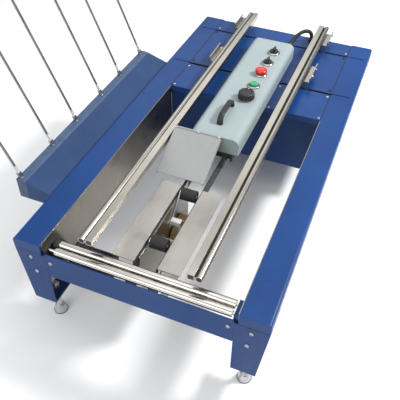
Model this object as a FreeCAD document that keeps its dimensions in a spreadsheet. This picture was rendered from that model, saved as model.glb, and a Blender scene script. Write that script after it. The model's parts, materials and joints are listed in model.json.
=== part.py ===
import FreeCAD, Part
import Sketcher
import math
import os
import re

# Semi-automatic carton sealer, millimetres.  Origin on the floor under the middle of
# the frame, +X to the operator's right, +Y from the operator to the rear, +Z up.
# Heights are given from the top of the side beams and lengths from their front ends.

SIZES = {
    # frame
    "frame_width": 700, "frame_length": 1370, "table_height": 345,
    "beam_width": 80, "beam_height": 36, "sheet": 3, "groove_depth": 2, "edge_round": 8,
    "leg_width": 90, "leg_depth": 84, "leg_height": 204, "leg_taper": 20, "leg_lean": 2,
    "cross_drop": 28, "cross_height": 88, "cross_flange": 30,
    "panel_height": 160, "panel_sheet": 2.5, "panel_start": 6,
    "foot_inset": 46, "pad_width": 42, "pad_height": 24, "stem_width": 16,
    "nut_width": 28, "nut_height": 11,
    # deck and housing
    "deck_start": 822, "deck_sheet": 3, "mid_slot": 990, "rear_slot": 1270,
    "slot_width": 12, "slot_inset": 20, "deck_flange": 20, "deck_side_gap": 1.5,
    "housing_drop": 225, "housing_end": 1338, "housing_wall": 2,
    # guide rails and what carries them
    "rail_spread": 294, "rail_width": 19, "rail_lift": 30, "rail_start": 30,
    "rail_length": 1355, "tube_wall": 2, "bracket_length": 112, "bracket_reach": 22,
    "bracket_sheet": 4, "post_width": 30, "post_thick": 8, "shaft_width": 20,
    "shaft_drop": 62, "block_width": 90, "block_size": 44, "bore_gap": 0.05,
    "run_gap": 0.3, "bar_width": 30, "bar_height": 10,
    "belt_reach": 230, "belt_loop": 44, "belt_wall": 1.5, "belt_height": 12,
    "stud_width": 10,
    # console
    "console_width": 160, "console_height": 55, "console_start": 540,
    "console_length": 655, "console_wall": 2.5, "console_round": 22,
    "control_offset": 25, "control_start": 768, "control_pitch": 80,
    "bezel_width": 45, "bezel_height": 6, "neck_width": 34, "neck_bore": 31,
    "start_width": 29, "stop_width": 42, "knob_width": 56, "knob_height": 19,
    "handle_middle": 656, "handle_span": 104, "handle_width": 20, "handle_height": 32,
    "handle_thick": 11, "handle_offset": -5,
    "arm_spread": 58, "arm_height": 30, "arm_sheet": 5,
    # flap plate
    "plate_clear": 4, "plate_width": 149, "plate_length": 158, "plate_sheet": 2,
    "plate_flange": 11, "plate_slope": 25, "hinge_pin": 4, "hinge_barrel": 8,
    "hinge_gap": 7, "hinge_rise": 3,
    # rollers and their drive
    "roller_width": 22, "roller_drop": 14, "roller_first": 18, "roller_gap": 4,
    "roller_reach": 250, "drive_gap": 16, "journal_width": 8, "block_thick": 12, "block_height": 24,
    "pulley_width": 28, "pulley_face": 11, "motor_behind": 46, "motor_below": 88,
    "motor_width": 66, "motor_length": 118, "drive_belt": 2,
    # bed and tape head
    "centre_gap": 60, "centre_sheet": 3, "centre_height": 40, "centre_drop": 19,
    "bed_width": 62, "bed_start": 62, "bed_end": 372, "bed_drop": 16, "bed_sheet": 3,
    "head_start": 84, "head_length": 322, "head_height": 186, "head_sheet": 2.5,
    "head_drop": 26, "arm_hinge_drop": 84, "arm_reach": 70, "arm_apart": 60,
    "wheel_width": 36, "wheel_rise": 12, "arm_pin": 10, "arm_plate": 4,
    "tape_width": 50, "tape_outer": 110, "tape_core": 76, "tape_drop": 152,
    # magazine
    "tray_start": 180, "tray_length": 795, "tray_reach": 112, "tray_rim": 24,
    "tray_rise": 14, "tray_fall": 14, "tray_depth": 52,
    "rod_width": 8, "rod_length": 620, "rod_lean": 22, "rod_start": 192,
    "rod_wide_pitch": 162, "rod_narrow_pitch": 136, "rod_inset": 10,
    # fasteners
    "screw_head": 11, "screw_rise": 3.5,
    "gland_width": 19, "gland_side": 112, "gland_place": 1338,
    "inlet_width": 48, "inlet_height": 28, "inlet_drop": 165,
}

doc = FreeCAD.newDocument("carton_sealer")
sheet = doc.addObject("Spreadsheet::Sheet", "sizes")
for row, (name, value) in enumerate(SIZES.items(), 1):
    sheet.set("A%d" % row, name)
    sheet.set("B%d" % row, str(value))
    sheet.setAlias("B%d" % row, name)
doc.recompute()

NODES = []
PLATE_LEFT = "(rail_width + 1 + plate_clear - rail_spread / 2)"
ROLLER_PITCH = "(roller_width + roller_gap)"
WORD = re.compile(r"[a-z][a-z_0-9]*")
ALONG = {
    "x": FreeCAD.Rotation(FreeCAD.Vector(0, 1, 0), 90),
    "y": FreeCAD.Rotation(FreeCAD.Vector(1, 0, 0), -90),
    "z": FreeCAD.Rotation(),
}
SECTION_XZ = FreeCAD.Rotation(FreeCAD.Vector(1, 0, 0), 90)
SECTION_YZ = FreeCAD.Rotation(FreeCAD.Vector(1, 1, 1), 120)


def linked(text):
    """Turns each size's name into a reference to its cell."""
    return WORD.sub(lambda m: "sizes." + m[0] if m[0] in SIZES else m[0], str(text))


def bind(item, prop, text):
    item.setExpression(prop, linked(text))


def front(text):
    """A distance from the beams' front ends, as a Y coordinate."""
    return "(%s) - frame_length / 2" % text


def top(text):
    """A height above the beams' top, as a Z coordinate."""
    return "table_height + (%s)" % text


def place(item, corner, turn=FreeCAD.Rotation()):
    item.Placement = FreeCAD.Placement(FreeCAD.Vector(), turn)
    for axis, text in zip("xyz", corner):
        bind(item, "Placement.Base." + axis, text)
    return item


def block(name, size, corner):
    item = doc.addObject("Part::Box", name)
    for prop, text in zip(("Length", "Width", "Height"), size):
        bind(item, prop, text)
    return place(item, corner)


def round_bar(name, width, length, start, axis="z"):
    item = doc.addObject("Part::Cylinder", name)
    bind(item, "Radius", "(%s) / 2" % width)
    bind(item, "Height", length)
    return place(item, start, ALONG[axis])


def fuse(name, items):
    item = doc.addObject("Part::MultiFuse", name)
    item.Shapes = items
    return item


def cut(name, base, tools):
    item = doc.addObject("Part::Cut", name)
    item.Base = base
    item.Tool = tools[0] if len(tools) == 1 else fuse(name + "_tools", tools)
    return item


def group(name, items):
    item = doc.addObject("Part::Compound", name)
    item.Links = items
    return item


def mirrored(name, source, normal):
    item = doc.addObject("Part::Mirroring", name)
    item.Source = source
    item.Base = FreeCAD.Vector()
    item.Normal = FreeCAD.Vector(*normal)
    return item


def node(item, label):
    item.Label = label
    NODES.append(item)
    return item


def outline_body(name, points, length, corner, turn):
    """A body padded from a closed outline whose corners are given by expressions."""
    body = doc.addObject("PartDesign::Body", name)
    plane = [f for f in body.Origin.OriginFeatures if f.Role == "XY_Plane"][0]
    sketch = body.newObject("Sketcher::SketchObject", name + "_outline")
    sketch.AttachmentSupport = [(plane, "")]
    sketch.MapMode = "FlatFace"
    count = len(points)
    ring = [2 * math.pi * i / count for i in range(count)]
    start = [FreeCAD.Vector(100 * math.cos(a), 100 * math.sin(a), 0) for a in ring]
    for i in range(count):
        sketch.addGeometry(Part.LineSegment(start[i], start[(i + 1) % count]), False)
    for i in range(count):
        after = (i + 1) % count
        sketch.addConstraint(Sketcher.Constraint("Coincident", i, 2, after, 1))
    for i, (across, up) in enumerate(points):
        for kind, text, value in (("DistanceX", across, start[i].x),
                                  ("DistanceY", up, start[i].y)):
            index = sketch.addConstraint(Sketcher.Constraint(kind, i, 1, value))
            sketch.setExpression("Constraints[%d]" % index, linked(text))
    pad = body.newObject("PartDesign::Pad", name + "_pad")
    pad.Profile = sketch
    bind(pad, "Length", length)
    body.Tip = pad
    place(body, corner, turn)
    doc.recompute()
    return body


def rounded(body, radius, wanted):
    """Fillets the edges of the body's last feature that wanted() picks."""
    base = body.Tip
    names = ["Edge%d" % (i + 1) for i, e in enumerate(base.Shape.Edges) if wanted(e)]
    fillet = body.newObject("PartDesign::Fillet", body.Name + "_round")
    fillet.Base = (base, names)
    bind(fillet, "Radius", radius)
    body.Tip = fillet
    doc.recompute()
    return body


def at_start(edge):
    """True for an edge of the face that the pad starts from, except its lowest edge."""
    return abs(middle(edge).z) < 0.01 and middle(edge).y > 1


def runs_along(edge):
    """True for an edge along the pad's own direction."""
    ends = edge.Vertexes
    return len(ends) == 2 and abs(ends[0].Point.z - ends[1].Point.z) > 1


def middle(edge):
    return edge.CenterOfMass


# ---------------------------------------------------------------- frame

def side_beams():
    """Folded beams, open below, with their outer top edge rounded."""
    solid = outline_body(
        "beam_solid",
        [("0", "0"), ("beam_width", "0"), ("beam_width", "beam_height"), ("0", "beam_height")],
        "frame_length", ("-frame_width / 2", "frame_length / 2", top("-beam_height")),
        SECTION_XZ)
    rounded(solid, "edge_round",
            lambda e: runs_along(e) and middle(e).x < 1 and middle(e).y > 1)
    hollow = block(
        "beam_hollow",
        ("beam_width - 2 * sheet", "frame_length - 2 * sheet", "beam_height"),
        ("sheet - frame_width / 2", front("sheet"), top("-beam_height - sheet")))
    slots = [
        block("beam_slot_%d" % i,
              ("beam_width - slot_inset + 1", "slot_width", "beam_height"),
              ("slot_inset - frame_width / 2", front(slot + " - slot_width / 2"),
               top("-groove_depth")))
        for i, slot in enumerate(("mid_slot", "rear_slot"))]
    left = node(cut("beam_left", solid, [hollow] + slots), "side_beam_left")
    node(mirrored("beam_right", left, (1, 0, 0)), "side_beam_right")


def legs():
    """Tapered corner legs: a front plate, an outer plate and a foot plate."""
    def wedge(name, low, high, low_end, high_end, depth_start, depth_end):
        item = doc.addObject("Part::Wedge", name)
        item.Ymin = 0
        bind(item, "Ymax", "leg_height")
        for prop, text in (("Xmin", low), ("Xmax", high), ("X2min", low_end),
                           ("X2max", high_end), ("Zmin", depth_start), ("Zmax", depth_end),
                           ("Z2min", depth_start), ("Z2max", depth_end)):
            bind(item, prop, text)
        return place(item, ("frame_width / 2 - leg_width", front("0"), top("-beam_height")),
                     FreeCAD.Rotation(FreeCAD.Vector(1, 0, 0), -90))
    outer = wedge("leg_outer", "0", "leg_width", "leg_lean", "leg_width - leg_taper",
                  "0", "leg_depth")
    inner = wedge("leg_inner", "-leg_width", "leg_width - sheet", "-leg_width",
                  "leg_width - leg_taper - sheet", "sheet", "leg_depth * 2")
    shell = cut("leg_shell", outer, [inner])
    plate = block("leg_plate", ("leg_width - leg_taper - leg_lean", "leg_depth", "sheet + 2"),
                  ("frame_width / 2 - leg_width + leg_lean", front("0"),
                   top("-beam_height - leg_height")))
    hole = round_bar("leg_hole", "stem_width + 1", "sheet * 4",
                     ("frame_width / 2 - foot_inset - leg_taper / 2", front("foot_inset"),
                      top("-beam_height - leg_height - sheet")))
    right = cut("leg_cut", fuse("leg_body", [shell, plate]), [hole])
    node(right, "leg_front_right")
    left = node(mirrored("leg_fl", right, (1, 0, 0)), "leg_front_left")
    node(mirrored("leg_rr", right, (0, 1, 0)), "leg_rear_right")
    node(mirrored("leg_rl", left, (0, 1, 0)), "leg_rear_left")


def crossmembers():
    """Angles between the legs, flush with their front plates."""
    face = outline_body(
        "cross_front",
        [("0", "0"), ("cross_flange", "0"), ("cross_flange", "sheet"), ("sheet", "sheet"),
         ("sheet", "cross_height"), ("0", "cross_height")],
        "frame_width - 2 * leg_width",
        ("leg_width - frame_width / 2", front("0"), top("-cross_drop - cross_height")),
        SECTION_YZ)
    node(face, "front_crossmember")
    node(mirrored("cross_rear", face, (0, 1, 0)), "rear_crossmember")


def levelling_feet():
    """Conical pads on threaded stems, each locked by two nuts."""
    x = "frame_width / 2 - foot_inset - leg_taper / 2"
    y = front("foot_inset")
    pad = doc.addObject("Part::Cone", "foot_pad")
    bind(pad, "Radius1", "pad_width / 2")
    bind(pad, "Radius2", "pad_width / 3")
    bind(pad, "Height", "pad_height")
    place(pad, (x, y, "0"))
    stem = round_bar("foot_stem", "stem_width",
                     "table_height - beam_height - leg_height - pad_height + 24",
                     (x, y, "pad_height"))
    foot = fuse("foot_body", [pad, stem])
    nuts = []
    for i, z in enumerate(("-nut_height", "-nut_height * 2.4", "sheet + 2")):
        nut = doc.addObject("Part::Prism", "foot_nut_%d" % i)
        nut.Polygon = 6
        bind(nut, "Circumradius", "nut_width / 2")
        bind(nut, "Height", "nut_height")
        place(nut, (x, y, top("-beam_height - leg_height + %s" % z)))
        bore = round_bar("nut_bore_%d" % i, "stem_width + 0.2", "nut_height",
                         (x, y, top("-beam_height - leg_height + %s" % z)))
        nuts.append(cut("nut_%d" % i, nut, [bore]))
    right = group("foot_fr", [foot] + nuts)
    left = mirrored("foot_fl", right, (1, 0, 0))
    rear = [mirrored("foot_r%d" % i, half, (0, 1, 0)) for i, half in enumerate((right, left))]
    node(group("feet_all", [right, left] + rear), "levelling_feet")


def side_panels():
    """Stainless inner panels; the left one carries the motor's shelf."""
    def panel(name):
        return block(name, ("panel_sheet", "deck_start - panel_start", "panel_height"),
                     ("beam_width - frame_width / 2", front("panel_start"),
                      top("-1 - panel_height")))
    shelf = block(
        "motor_shelf", ("motor_length + 36", "motor_width + 16", "sheet"),
        ("beam_width + panel_sheet - frame_width / 2",
         front("roller_first + %s + motor_behind - motor_width / 2 - 8" % ROLLER_PITCH),
         top("-roller_drop - roller_width / 2 - motor_below - motor_width / 2 - sheet")))
    node(fuse("panel_left", [panel("panel_plate"), shelf]), "side_panel_left")
    node(mirrored("panel_right", panel("panel_plain"), (1, 0, 0)), "side_panel_right")


# ---------------------------------------------------------------- deck

def deck():
    """Three plates on the housing, parted by the two slots that the rails slide in."""
    width = "frame_width - 2 * beam_width - 2 * deck_side_gap"
    left = "beam_width + deck_side_gap - frame_width / 2"

    def plate(name, start, end):
        return block(name, (width, "(%s) - (%s)" % (end, start), "deck_sheet"),
                     (left, front(start), top("-deck_sheet")))
    lip = block("deck_lip", (width, "deck_sheet", "deck_flange"),
                (left, front("deck_start"), top("-deck_flange")))
    node(fuse("deck_front", [plate("deck_front_flat", "deck_start",
                                   "mid_slot - slot_width / 2"), lip]), "deck_front_plate")
    node(plate("deck_cover", "mid_slot + slot_width / 2", "rear_slot - slot_width / 2"),
         "deck_cover_plate")
    rear = plate("deck_rear_flat", "rear_slot + slot_width / 2", "frame_length - 5")
    hole = round_bar("deck_gland_hole", "gland_width + 1", "deck_sheet * 3",
                     ("gland_side", front("gland_place"), top("-deck_sheet * 2")))
    node(cut("deck_rear", rear, [hole]), "deck_rear_plate")


def housing():
    """The closed tray under the deck, with its studs for the belt pulleys."""
    width = "frame_width - 2 * beam_width - 2 * deck_side_gap"
    left = "beam_width + deck_side_gap - frame_width / 2"
    start = "deck_start + deck_sheet"
    outer = block("housing_outer",
                  (width, "housing_end - (%s)" % start, "housing_drop - deck_sheet"),
                  (left, front(start), top("-housing_drop")))
    inner = block("housing_inner",
                  (width + " - 2 * housing_wall",
                   "housing_end - (%s) - 2 * housing_wall" % start, "housing_drop"),
                  (left + " + housing_wall", front(start + " + housing_wall"),
                   top("housing_wall - housing_drop")))
    inlet = block("inlet_cutout", ("inlet_width - 8", "housing_wall * 4", "inlet_height - 8"),
                  ("120 - (inlet_width - 8) / 2", front("housing_end - housing_wall * 3"),
                   top("-inlet_drop - (inlet_height - 8) / 2")))
    node(cut("housing_cut", outer, [inner, inlet]), "drive_housing")
    face = block("inlet_face", ("inlet_width", "3", "inlet_height"),
                 ("120 - inlet_width / 2", front("housing_end"),
                  top("-inlet_drop - inlet_height / 2")))
    socket = block("inlet_socket", ("inlet_width - 9", "24", "inlet_height - 9"),
                   ("120 - (inlet_width - 9) / 2", front("housing_end - 21"),
                    top("-inlet_drop - (inlet_height - 9) / 2")))
    well = block("inlet_well", ("inlet_width - 18", "16", "inlet_height - 16"),
                 ("120 - (inlet_width - 18) / 2", front("housing_end - 10"),
                  top("-inlet_drop - (inlet_height - 16) / 2")))
    node(cut("inlet_cut", fuse("inlet_body", [face, socket]), [well]), "power_inlet")


# ---------------------------------------------------------------- guide rails

def guide_rails():
    """Each rail is a square bar beside a round tube, joined by a thin web."""
    y = front("rail_start")
    bar = block("rail_bar", ("rail_width", "rail_length", "rail_width"),
                ("-rail_spread / 2 + 1", y, top("rail_lift")))
    tube = round_bar("rail_tube", "rail_width", "rail_length",
                     ("-rail_spread / 2 - 1 - rail_width / 2", y,
                      top("rail_lift + rail_width / 2")), "y")
    bore = round_bar("rail_bore", "rail_width - 2 * tube_wall", "rail_length + 2",
                     ("-rail_spread / 2 - 1 - rail_width / 2", front("rail_start - 1"),
                      top("rail_lift + rail_width / 2")), "y")
    slot = block("rail_bar_bore",
                 ("rail_width - 2 * tube_wall", "rail_length + 2", "rail_width - 2 * tube_wall"),
                 ("-rail_spread / 2 + 1 + tube_wall", front("rail_start - 1"),
                  top("rail_lift + tube_wall")))
    web = block("rail_web", ("6", "rail_length", "6"),
                ("-rail_spread / 2 - 3", y, top("rail_lift + rail_width / 2 - 3")))
    solid = fuse("rail_solid", [bar, tube, web])
    left = node(cut("rail_left", solid, [bore, slot]), "guide_rail_left")
    node(mirrored("rail_right", left, (1, 0, 0)), "guide_rail_right")


def rail_brackets():
    """Angle brackets under the rails, with posts through the slots and two screws each."""
    solids = []
    screws = []
    outer = "-rail_spread / 2 - 1 - rail_width - bracket_reach"
    for i, slot in enumerate(("mid_slot", "rear_slot")):
        length = "bracket_length" if i == 0 else "bracket_length - 14"
        y = front(slot + " - post_thick / 2")
        base = block("bracket_base_%d" % i,
                     ("2 * rail_width + 2 + bracket_reach", length, "bracket_sheet"),
                     (outer, y, top("rail_lift - bracket_sheet")))
        wall = block("bracket_wall_%d" % i, ("bracket_sheet", length, "rail_width"),
                     (outer, y, top("rail_lift - bracket_sheet")))
        post = block("bracket_post_%d" % i,
                     ("post_width", "post_thick",
                      "rail_lift - bracket_sheet / 2 + shaft_drop - block_size / 2"),
                     (outer + " + bracket_sheet", y, top("block_size / 2 - shaft_drop")))
        solids.append(fuse("bracket_%d" % i, [base, wall, post]))
        for k, share in enumerate((0.3, 0.75)):
            screws.append(round_bar(
                "bracket_screw_%d_%d" % (i, k), "screw_head - 2", "screw_rise",
                (outer + " - screw_rise", y + " + bracket_length * %s" % share,
                 top("rail_lift + rail_width / 2 - 4")), "x"))
    left = group("brackets_left", solids + screws)
    node(left, "rail_brackets_left")
    node(mirrored("brackets_right", left, (1, 0, 0)), "rail_brackets_right")


def carriage(side, sign, run):
    """Two bearing blocks and the bar between them, with jaws round one belt run."""
    outer = "rail_spread / 2 + 1 + rail_width + bracket_reach - bracket_sheet"
    centre = "(mid_slot + rear_slot) / 2"

    def across(width, inset):
        """Left edge of a piece whose outer face lies inset from the post's outer face."""
        if sign < 0:
            return "-(%s) + %s" % (outer, inset)
        return "(%s) - %s - (%s)" % (outer, inset, width)
    solids = []
    for i, slot in enumerate(("mid_slot", "rear_slot")):
        solids.append(block(
            "%s_block_%d" % (side, i), ("block_width", "block_size", "block_size"),
            (across("block_width", "0"), front(slot + " - block_size / 2"),
             top("-shaft_drop - block_size / 2"))))
    low = top("-shaft_drop - block_size / 2")
    solids.append(block(
        side + "_bar", ("bar_width", "rear_slot - mid_slot - block_size + 2", "bar_height"),
        (across("bar_width", "0"), front("mid_slot + block_size / 2 - 1"), low)))
    run_y = "%s %s (belt_loop - belt_wall) / 2" % (centre, run)
    solids.append(block(
        side + "_tongue", ("block_width", "24", "bar_height"),
        (across("block_width", "0"), front(run_y + " - 12"), low)))
    for i, shift in enumerate(("- 7 - run_gap - belt_wall / 2", "+ run_gap + belt_wall / 2")):
        solids.append(block(
            "%s_jaw_%d" % (side, i), ("20", "7", "bar_height + 16"),
            (across("20", "block_width - 20"), front(run_y + shift), low)))
    bores = [
        round_bar("%s_bore_%d" % (side, i), "shaft_width + 2 * bore_gap", "block_width + 4",
                  (across("block_width", "0") + " - 2", front(slot), top("-shaft_drop")), "x")
        for i, slot in enumerate(("mid_slot", "rear_slot"))]
    node(cut(side + "_carriage", fuse(side + "_body", solids), bores), "carriage_" + side)


def belt_drive():
    """The belt loop that moves the two rails together, and its two pulleys."""
    centre = "(mid_slot + rear_slot) / 2"

    def loop(name, gap, height, drop):
        ends = [round_bar("%s_end_%d" % (name, i), "belt_loop - 2 * (%s)" % gap, height,
                          (x, front(centre), drop))
                for i, x in enumerate(("-belt_reach", "belt_reach"))]
        middle_part = block(name + "_middle",
                            ("2 * belt_reach", "belt_loop - 2 * (%s)" % gap, height),
                            ("-belt_reach", front("%s - belt_loop / 2 + %s" % (centre, gap)),
                             drop))
        return fuse(name, ends + [middle_part])
    outside = loop("belt_outside", "0", "belt_height", top("-shaft_drop - belt_height / 2"))
    inside = loop("belt_inside", "belt_wall", "belt_height * 2",
                  top("-shaft_drop - belt_height"))
    node(cut("belt_cut", outside, [inside]), "sync_belt")
    studs = []
    for name, x in (("left", "-belt_reach"), ("right", "belt_reach")):
        wheel = round_bar("wheel_" + name, "belt_loop - 2 * belt_wall - 2 * run_gap",
                          "belt_height", (x, front(centre), top("-shaft_drop - belt_height / 2")))
        flanges = [round_bar("wheel_flange_%s_%d" % (name, i), "belt_loop + 4", "2",
                             (x, front(centre), top("-shaft_drop " + shift)))
                   for i, shift in enumerate(("+ belt_height / 2 + run_gap",
                                              "- belt_height / 2 - 2 - run_gap"))]
        hub = round_bar("wheel_hub_" + name, "stud_width + 8",
                        "belt_height + 4 + 2 * run_gap",
                        (x, front(centre), top("-shaft_drop - belt_height / 2 - 2 - run_gap")))
        bore = round_bar("wheel_bore_" + name, "stud_width + 2 * bore_gap", "belt_height * 3",
                         (x, front(centre), top("-shaft_drop - belt_height * 1.5")))
        solid = fuse("wheel_solid_" + name, [wheel, hub] + flanges)
        node(cut("wheel_cut_" + name, solid, [bore]), "sync_pulley_" + name)
        length = "shaft_drop + belt_height / 2 + 2 + run_gap - deck_sheet"
        stud = round_bar("stud_" + name, "stud_width", length,
                         (x, front(centre), top("-deck_sheet - (%s)" % length)))
        head = round_bar("stud_head_" + name, "stud_width + 6", "2",
                         (x, front(centre),
                          top("-shaft_drop - belt_height / 2 - 4 - 3 * run_gap")))
        studs.append(fuse("stud_solid_" + name, [stud, head]))
    node(group("studs", studs), "pulley_studs")
    shafts = [round_bar("guide_shaft_%d" % i, "shaft_width",
                        "frame_width - 2 * beam_width - 2 * deck_side_gap - 2 * housing_wall",
                        ("beam_width + deck_side_gap + housing_wall - frame_width / 2",
                         front(slot), top("-shaft_drop")), "x")
              for i, slot in enumerate(("mid_slot", "rear_slot"))]
    node(group("shafts", shafts), "guide_shafts")


# ---------------------------------------------------------------- console

def control_y(index):
    return front("control_start + %d * control_pitch" % index)


def console():
    """A long shell with rounded top edges, standing on its base and two arms."""
    solid = outline_body(
        "console_solid",
        [("0", "0"), ("console_width", "0"), ("console_width", "console_height"),
         ("0", "console_height")],
        "console_length",
        ("-console_width / 2", front("console_start + console_length"), top("0")),
        SECTION_XZ)
    rounded(solid, "console_round",
            lambda e: (runs_along(e) and middle(e).y > 1) or at_start(e))
    hollow = outline_body(
        "console_hollow",
        [("0", "-5"), ("console_width - 2 * console_wall", "-5"),
         ("console_width - 2 * console_wall", "console_height - console_wall"),
         ("0", "console_height - console_wall")],
        "console_length - 2 * console_wall",
        ("console_wall - console_width / 2",
         front("console_start + console_length - console_wall"), top("0")),
        SECTION_XZ)
    rounded(hollow, "console_round - console_wall",
            lambda e: (runs_along(e) and middle(e).y > 1) or at_start(e))
    holes = [round_bar("control_hole_%d" % i, "neck_width + 0.5", "console_wall * 4",
                       ("control_offset", control_y(i), top("console_height - 2 * console_wall")))
             for i in range(5)]
    holes.append(round_bar("cable_hole", "gland_width + 0.4", "console_wall * 6",
                           ("52", front("console_start + console_length - console_wall * 3"),
                            top("28")), "y"))
    node(cut("console_cut", solid, [hollow] + holes), "console_shell")
    base = block("console_floor",
                 ("console_width - 2 * console_wall - 0.6",
                  "console_length - console_round - 2 * console_wall", "console_wall"),
                 ("console_wall + 0.3 - console_width / 2",
                  front("console_start + console_wall + 0.3"), top("0")))
    arms = [block("console_arm_%d" % i,
                  ("arm_sheet", "deck_start - console_start", "arm_height"),
                  ("%s arm_spread - arm_sheet / 2" % sign, front("console_start"),
                   top("-arm_height")))
            for i, sign in enumerate("-+")]
    tie = block("arm_tie", ("2 * arm_spread", "arm_sheet", "centre_drop"),
                ("-arm_spread", front("console_start"), top("-centre_drop")))
    rest = doc.addObject("Part::Box", "plate_rest")
    for prop, text in (("Length", "12"), ("Width", "plate_length * 0.3"), ("Height", "9")):
        bind(rest, prop, text)
    place(rest, ("centre_gap / 2 + centre_sheet + run_gap",
                 front("console_start + 3 - plate_length * 0.3 * cos(plate_slope)"),
                 top("-arm_height * 0.3 - plate_length * 0.3 * sin(plate_slope)")))
    bind(rest, "Placement.Rotation.Axis.x", "1")
    bind(rest, "Placement.Rotation.Axis.z", "0")
    bind(rest, "Placement.Rotation.Angle", "plate_slope")
    node(fuse("console_arms", [base, tie, rest] + arms), "console_bracket")


def controls():
    """Bezels, contact blocks, two selectors, two push buttons and a ribbed knob."""
    x = "control_offset"
    z = "console_height"
    rings = []
    bodies = []
    for i in range(5):
        y = control_y(i)
        ring = round_bar("bezel_%d" % i, "bezel_width", "bezel_height", (x, y, top(z)))
        eye = round_bar("bezel_eye_%d" % i, "neck_width + 0.2", "bezel_height * 3",
                        (x, y, top(z + " - bezel_height")))
        rings.append(cut("bezel_ring_%d" % i, ring, [eye]))
        neck = round_bar("neck_%d" % i, "neck_width", "bezel_height + console_wall + 3",
                         (x, y, top(z + " - console_wall - 3")))
        box = block("contact_%d" % i, ("38", "38", "26"),
                    ("control_offset - 19", y + " - 19", top(z + " - console_wall - 29")))
        well = round_bar("neck_well_%d" % i, "neck_bore", "40",
                         (x, y, top(z + " - console_wall - 12")))
        bodies.append(cut("contact_body_%d" % i, fuse("contact_solid_%d" % i, [neck, box]),
                          [well]))
    node(group("bezels", rings), "button_bezels")
    node(group("contacts", bodies), "contact_blocks")

    knob = round_bar("knob_round", "knob_width", "knob_height",
                     (x, control_y(0), top(z + " + bezel_height + run_gap")))
    grooves = []
    for i in range(12):
        angle = 30 * i
        grooves.append(round_bar(
            "knob_groove_%d" % i, "7", "knob_height * 2",
            ("control_offset + knob_width / 2 * cos(%d)" % angle,
             control_y(0) + " + knob_width / 2 * sin(%d)" % angle, top(z))))
    spindle = round_bar("knob_spindle", "8", "bezel_height + 10",
                        (x, control_y(0), top(z + " - 8")))
    node(fuse("knob_solid", [cut("knob_cut", knob, grooves), spindle]), "ribbed_knob")

    def push(name, index, width, rise, height):
        y = control_y(index)
        cap = round_bar(name + "_cap", width, height, (x, y, top(z + " + " + rise)))
        stem = round_bar(name + "_stem", "neck_bore - 2", "14",
                         (x, y, top(z + " + %s - 13" % rise)))
        body = fuse(name + "_solid", [cap, stem])
        soft = doc.addObject("Part::Fillet", name + "_soft")
        soft.Base = body
        doc.recompute()
        high = max(e.BoundBox.ZMax for e in body.Shape.Edges)
        soft.Edges = [(i + 1, 2.5, 2.5) for i, e in enumerate(body.Shape.Edges)
                      if e.BoundBox.ZMin > high - 0.1]
        node(soft, name)
    push("start_button", 1, "start_width", "5", "7")
    push("stop_button", 2, "stop_width", "bezel_height + 5", "12")

    for index, name in ((3, "selector_knob_front"), (4, "selector_knob_rear")):
        y = control_y(index)
        dial = round_bar(name + "_dial", "neck_bore", "5",
                         (x, y, top(z + " + bezel_height + run_gap")))
        grip = block(name + "_grip", ("9", "neck_bore + 2", "17"),
                     ("control_offset - 4.5", y + " - neck_bore / 2 - 1",
                      top(z + " + bezel_height + run_gap")))
        stem = round_bar(name + "_stem", "neck_bore - 4", "12",
                         (x, y, top(z + " + bezel_height + run_gap - 11")))
        node(fuse(name + "_solid", [dial, grip, stem]), name)


def console_handle():
    """A bow handle on two feet, bridging a finger gap."""
    half = "handle_span / 2"
    points = [("-%s - 7" % half, "0"), ("-%s - 7" % half, "handle_height * 0.45"),
              ("-%s + 14" % half, "handle_height"), ("%s - 14" % half, "handle_height"),
              ("%s + 7" % half, "handle_height * 0.45"), ("%s + 7" % half, "0"),
              ("%s - 8" % half, "0"), ("%s - 20" % half, "handle_height - handle_thick"),
              ("-%s + 20" % half, "handle_height - handle_thick"), ("-%s + 8" % half, "0")]
    body = outline_body("handle_body", points, "handle_width",
                        ("handle_offset - handle_width / 2", front("handle_middle"),
                         top("console_height")), SECTION_YZ)
    rounded(body, "4", lambda e: runs_along(e) and middle(e).y > 10)
    node(body, "console_handle")


CABLE_POINTS = [(52, 1211, 28), (54, 1242, 31), (63, 1270, 43), (80, 1295, 54),
                (99, 1317, 51), (111, 1333, 34), (112, 1338, 9)]
CABLE_WIDTH = 14


def tangent_path(points):
    """Straight runs through the points, joined by arcs as large as the runs allow."""
    edges = []
    last = points[0]
    radii = []
    for before, here, after in zip(points, points[1:], points[2:]):
        back = (before - here).normalize()
        ahead = (after - here).normalize()
        half_turn = (math.pi - back.getAngle(ahead)) / 2
        reach = 0.45 * min(here.distanceToPoint(before), here.distanceToPoint(after))
        radii.append(reach / math.tan(half_turn))
        start = here + back * reach
        end = here + ahead * reach
        inward = (back + ahead).normalize()
        to_centre = radii[-1] / math.cos(half_turn)
        mid = here + inward * (to_centre - radii[-1])
        edges.append(Part.LineSegment(last, start).toShape())
        edges.append(Part.Arc(start, mid, end).toShape())
        last = end
    edges.append(Part.LineSegment(last, points[-1]).toShape())
    print("cable radii", [round(r) for r in radii])
    return Part.Wire(edges)


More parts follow.
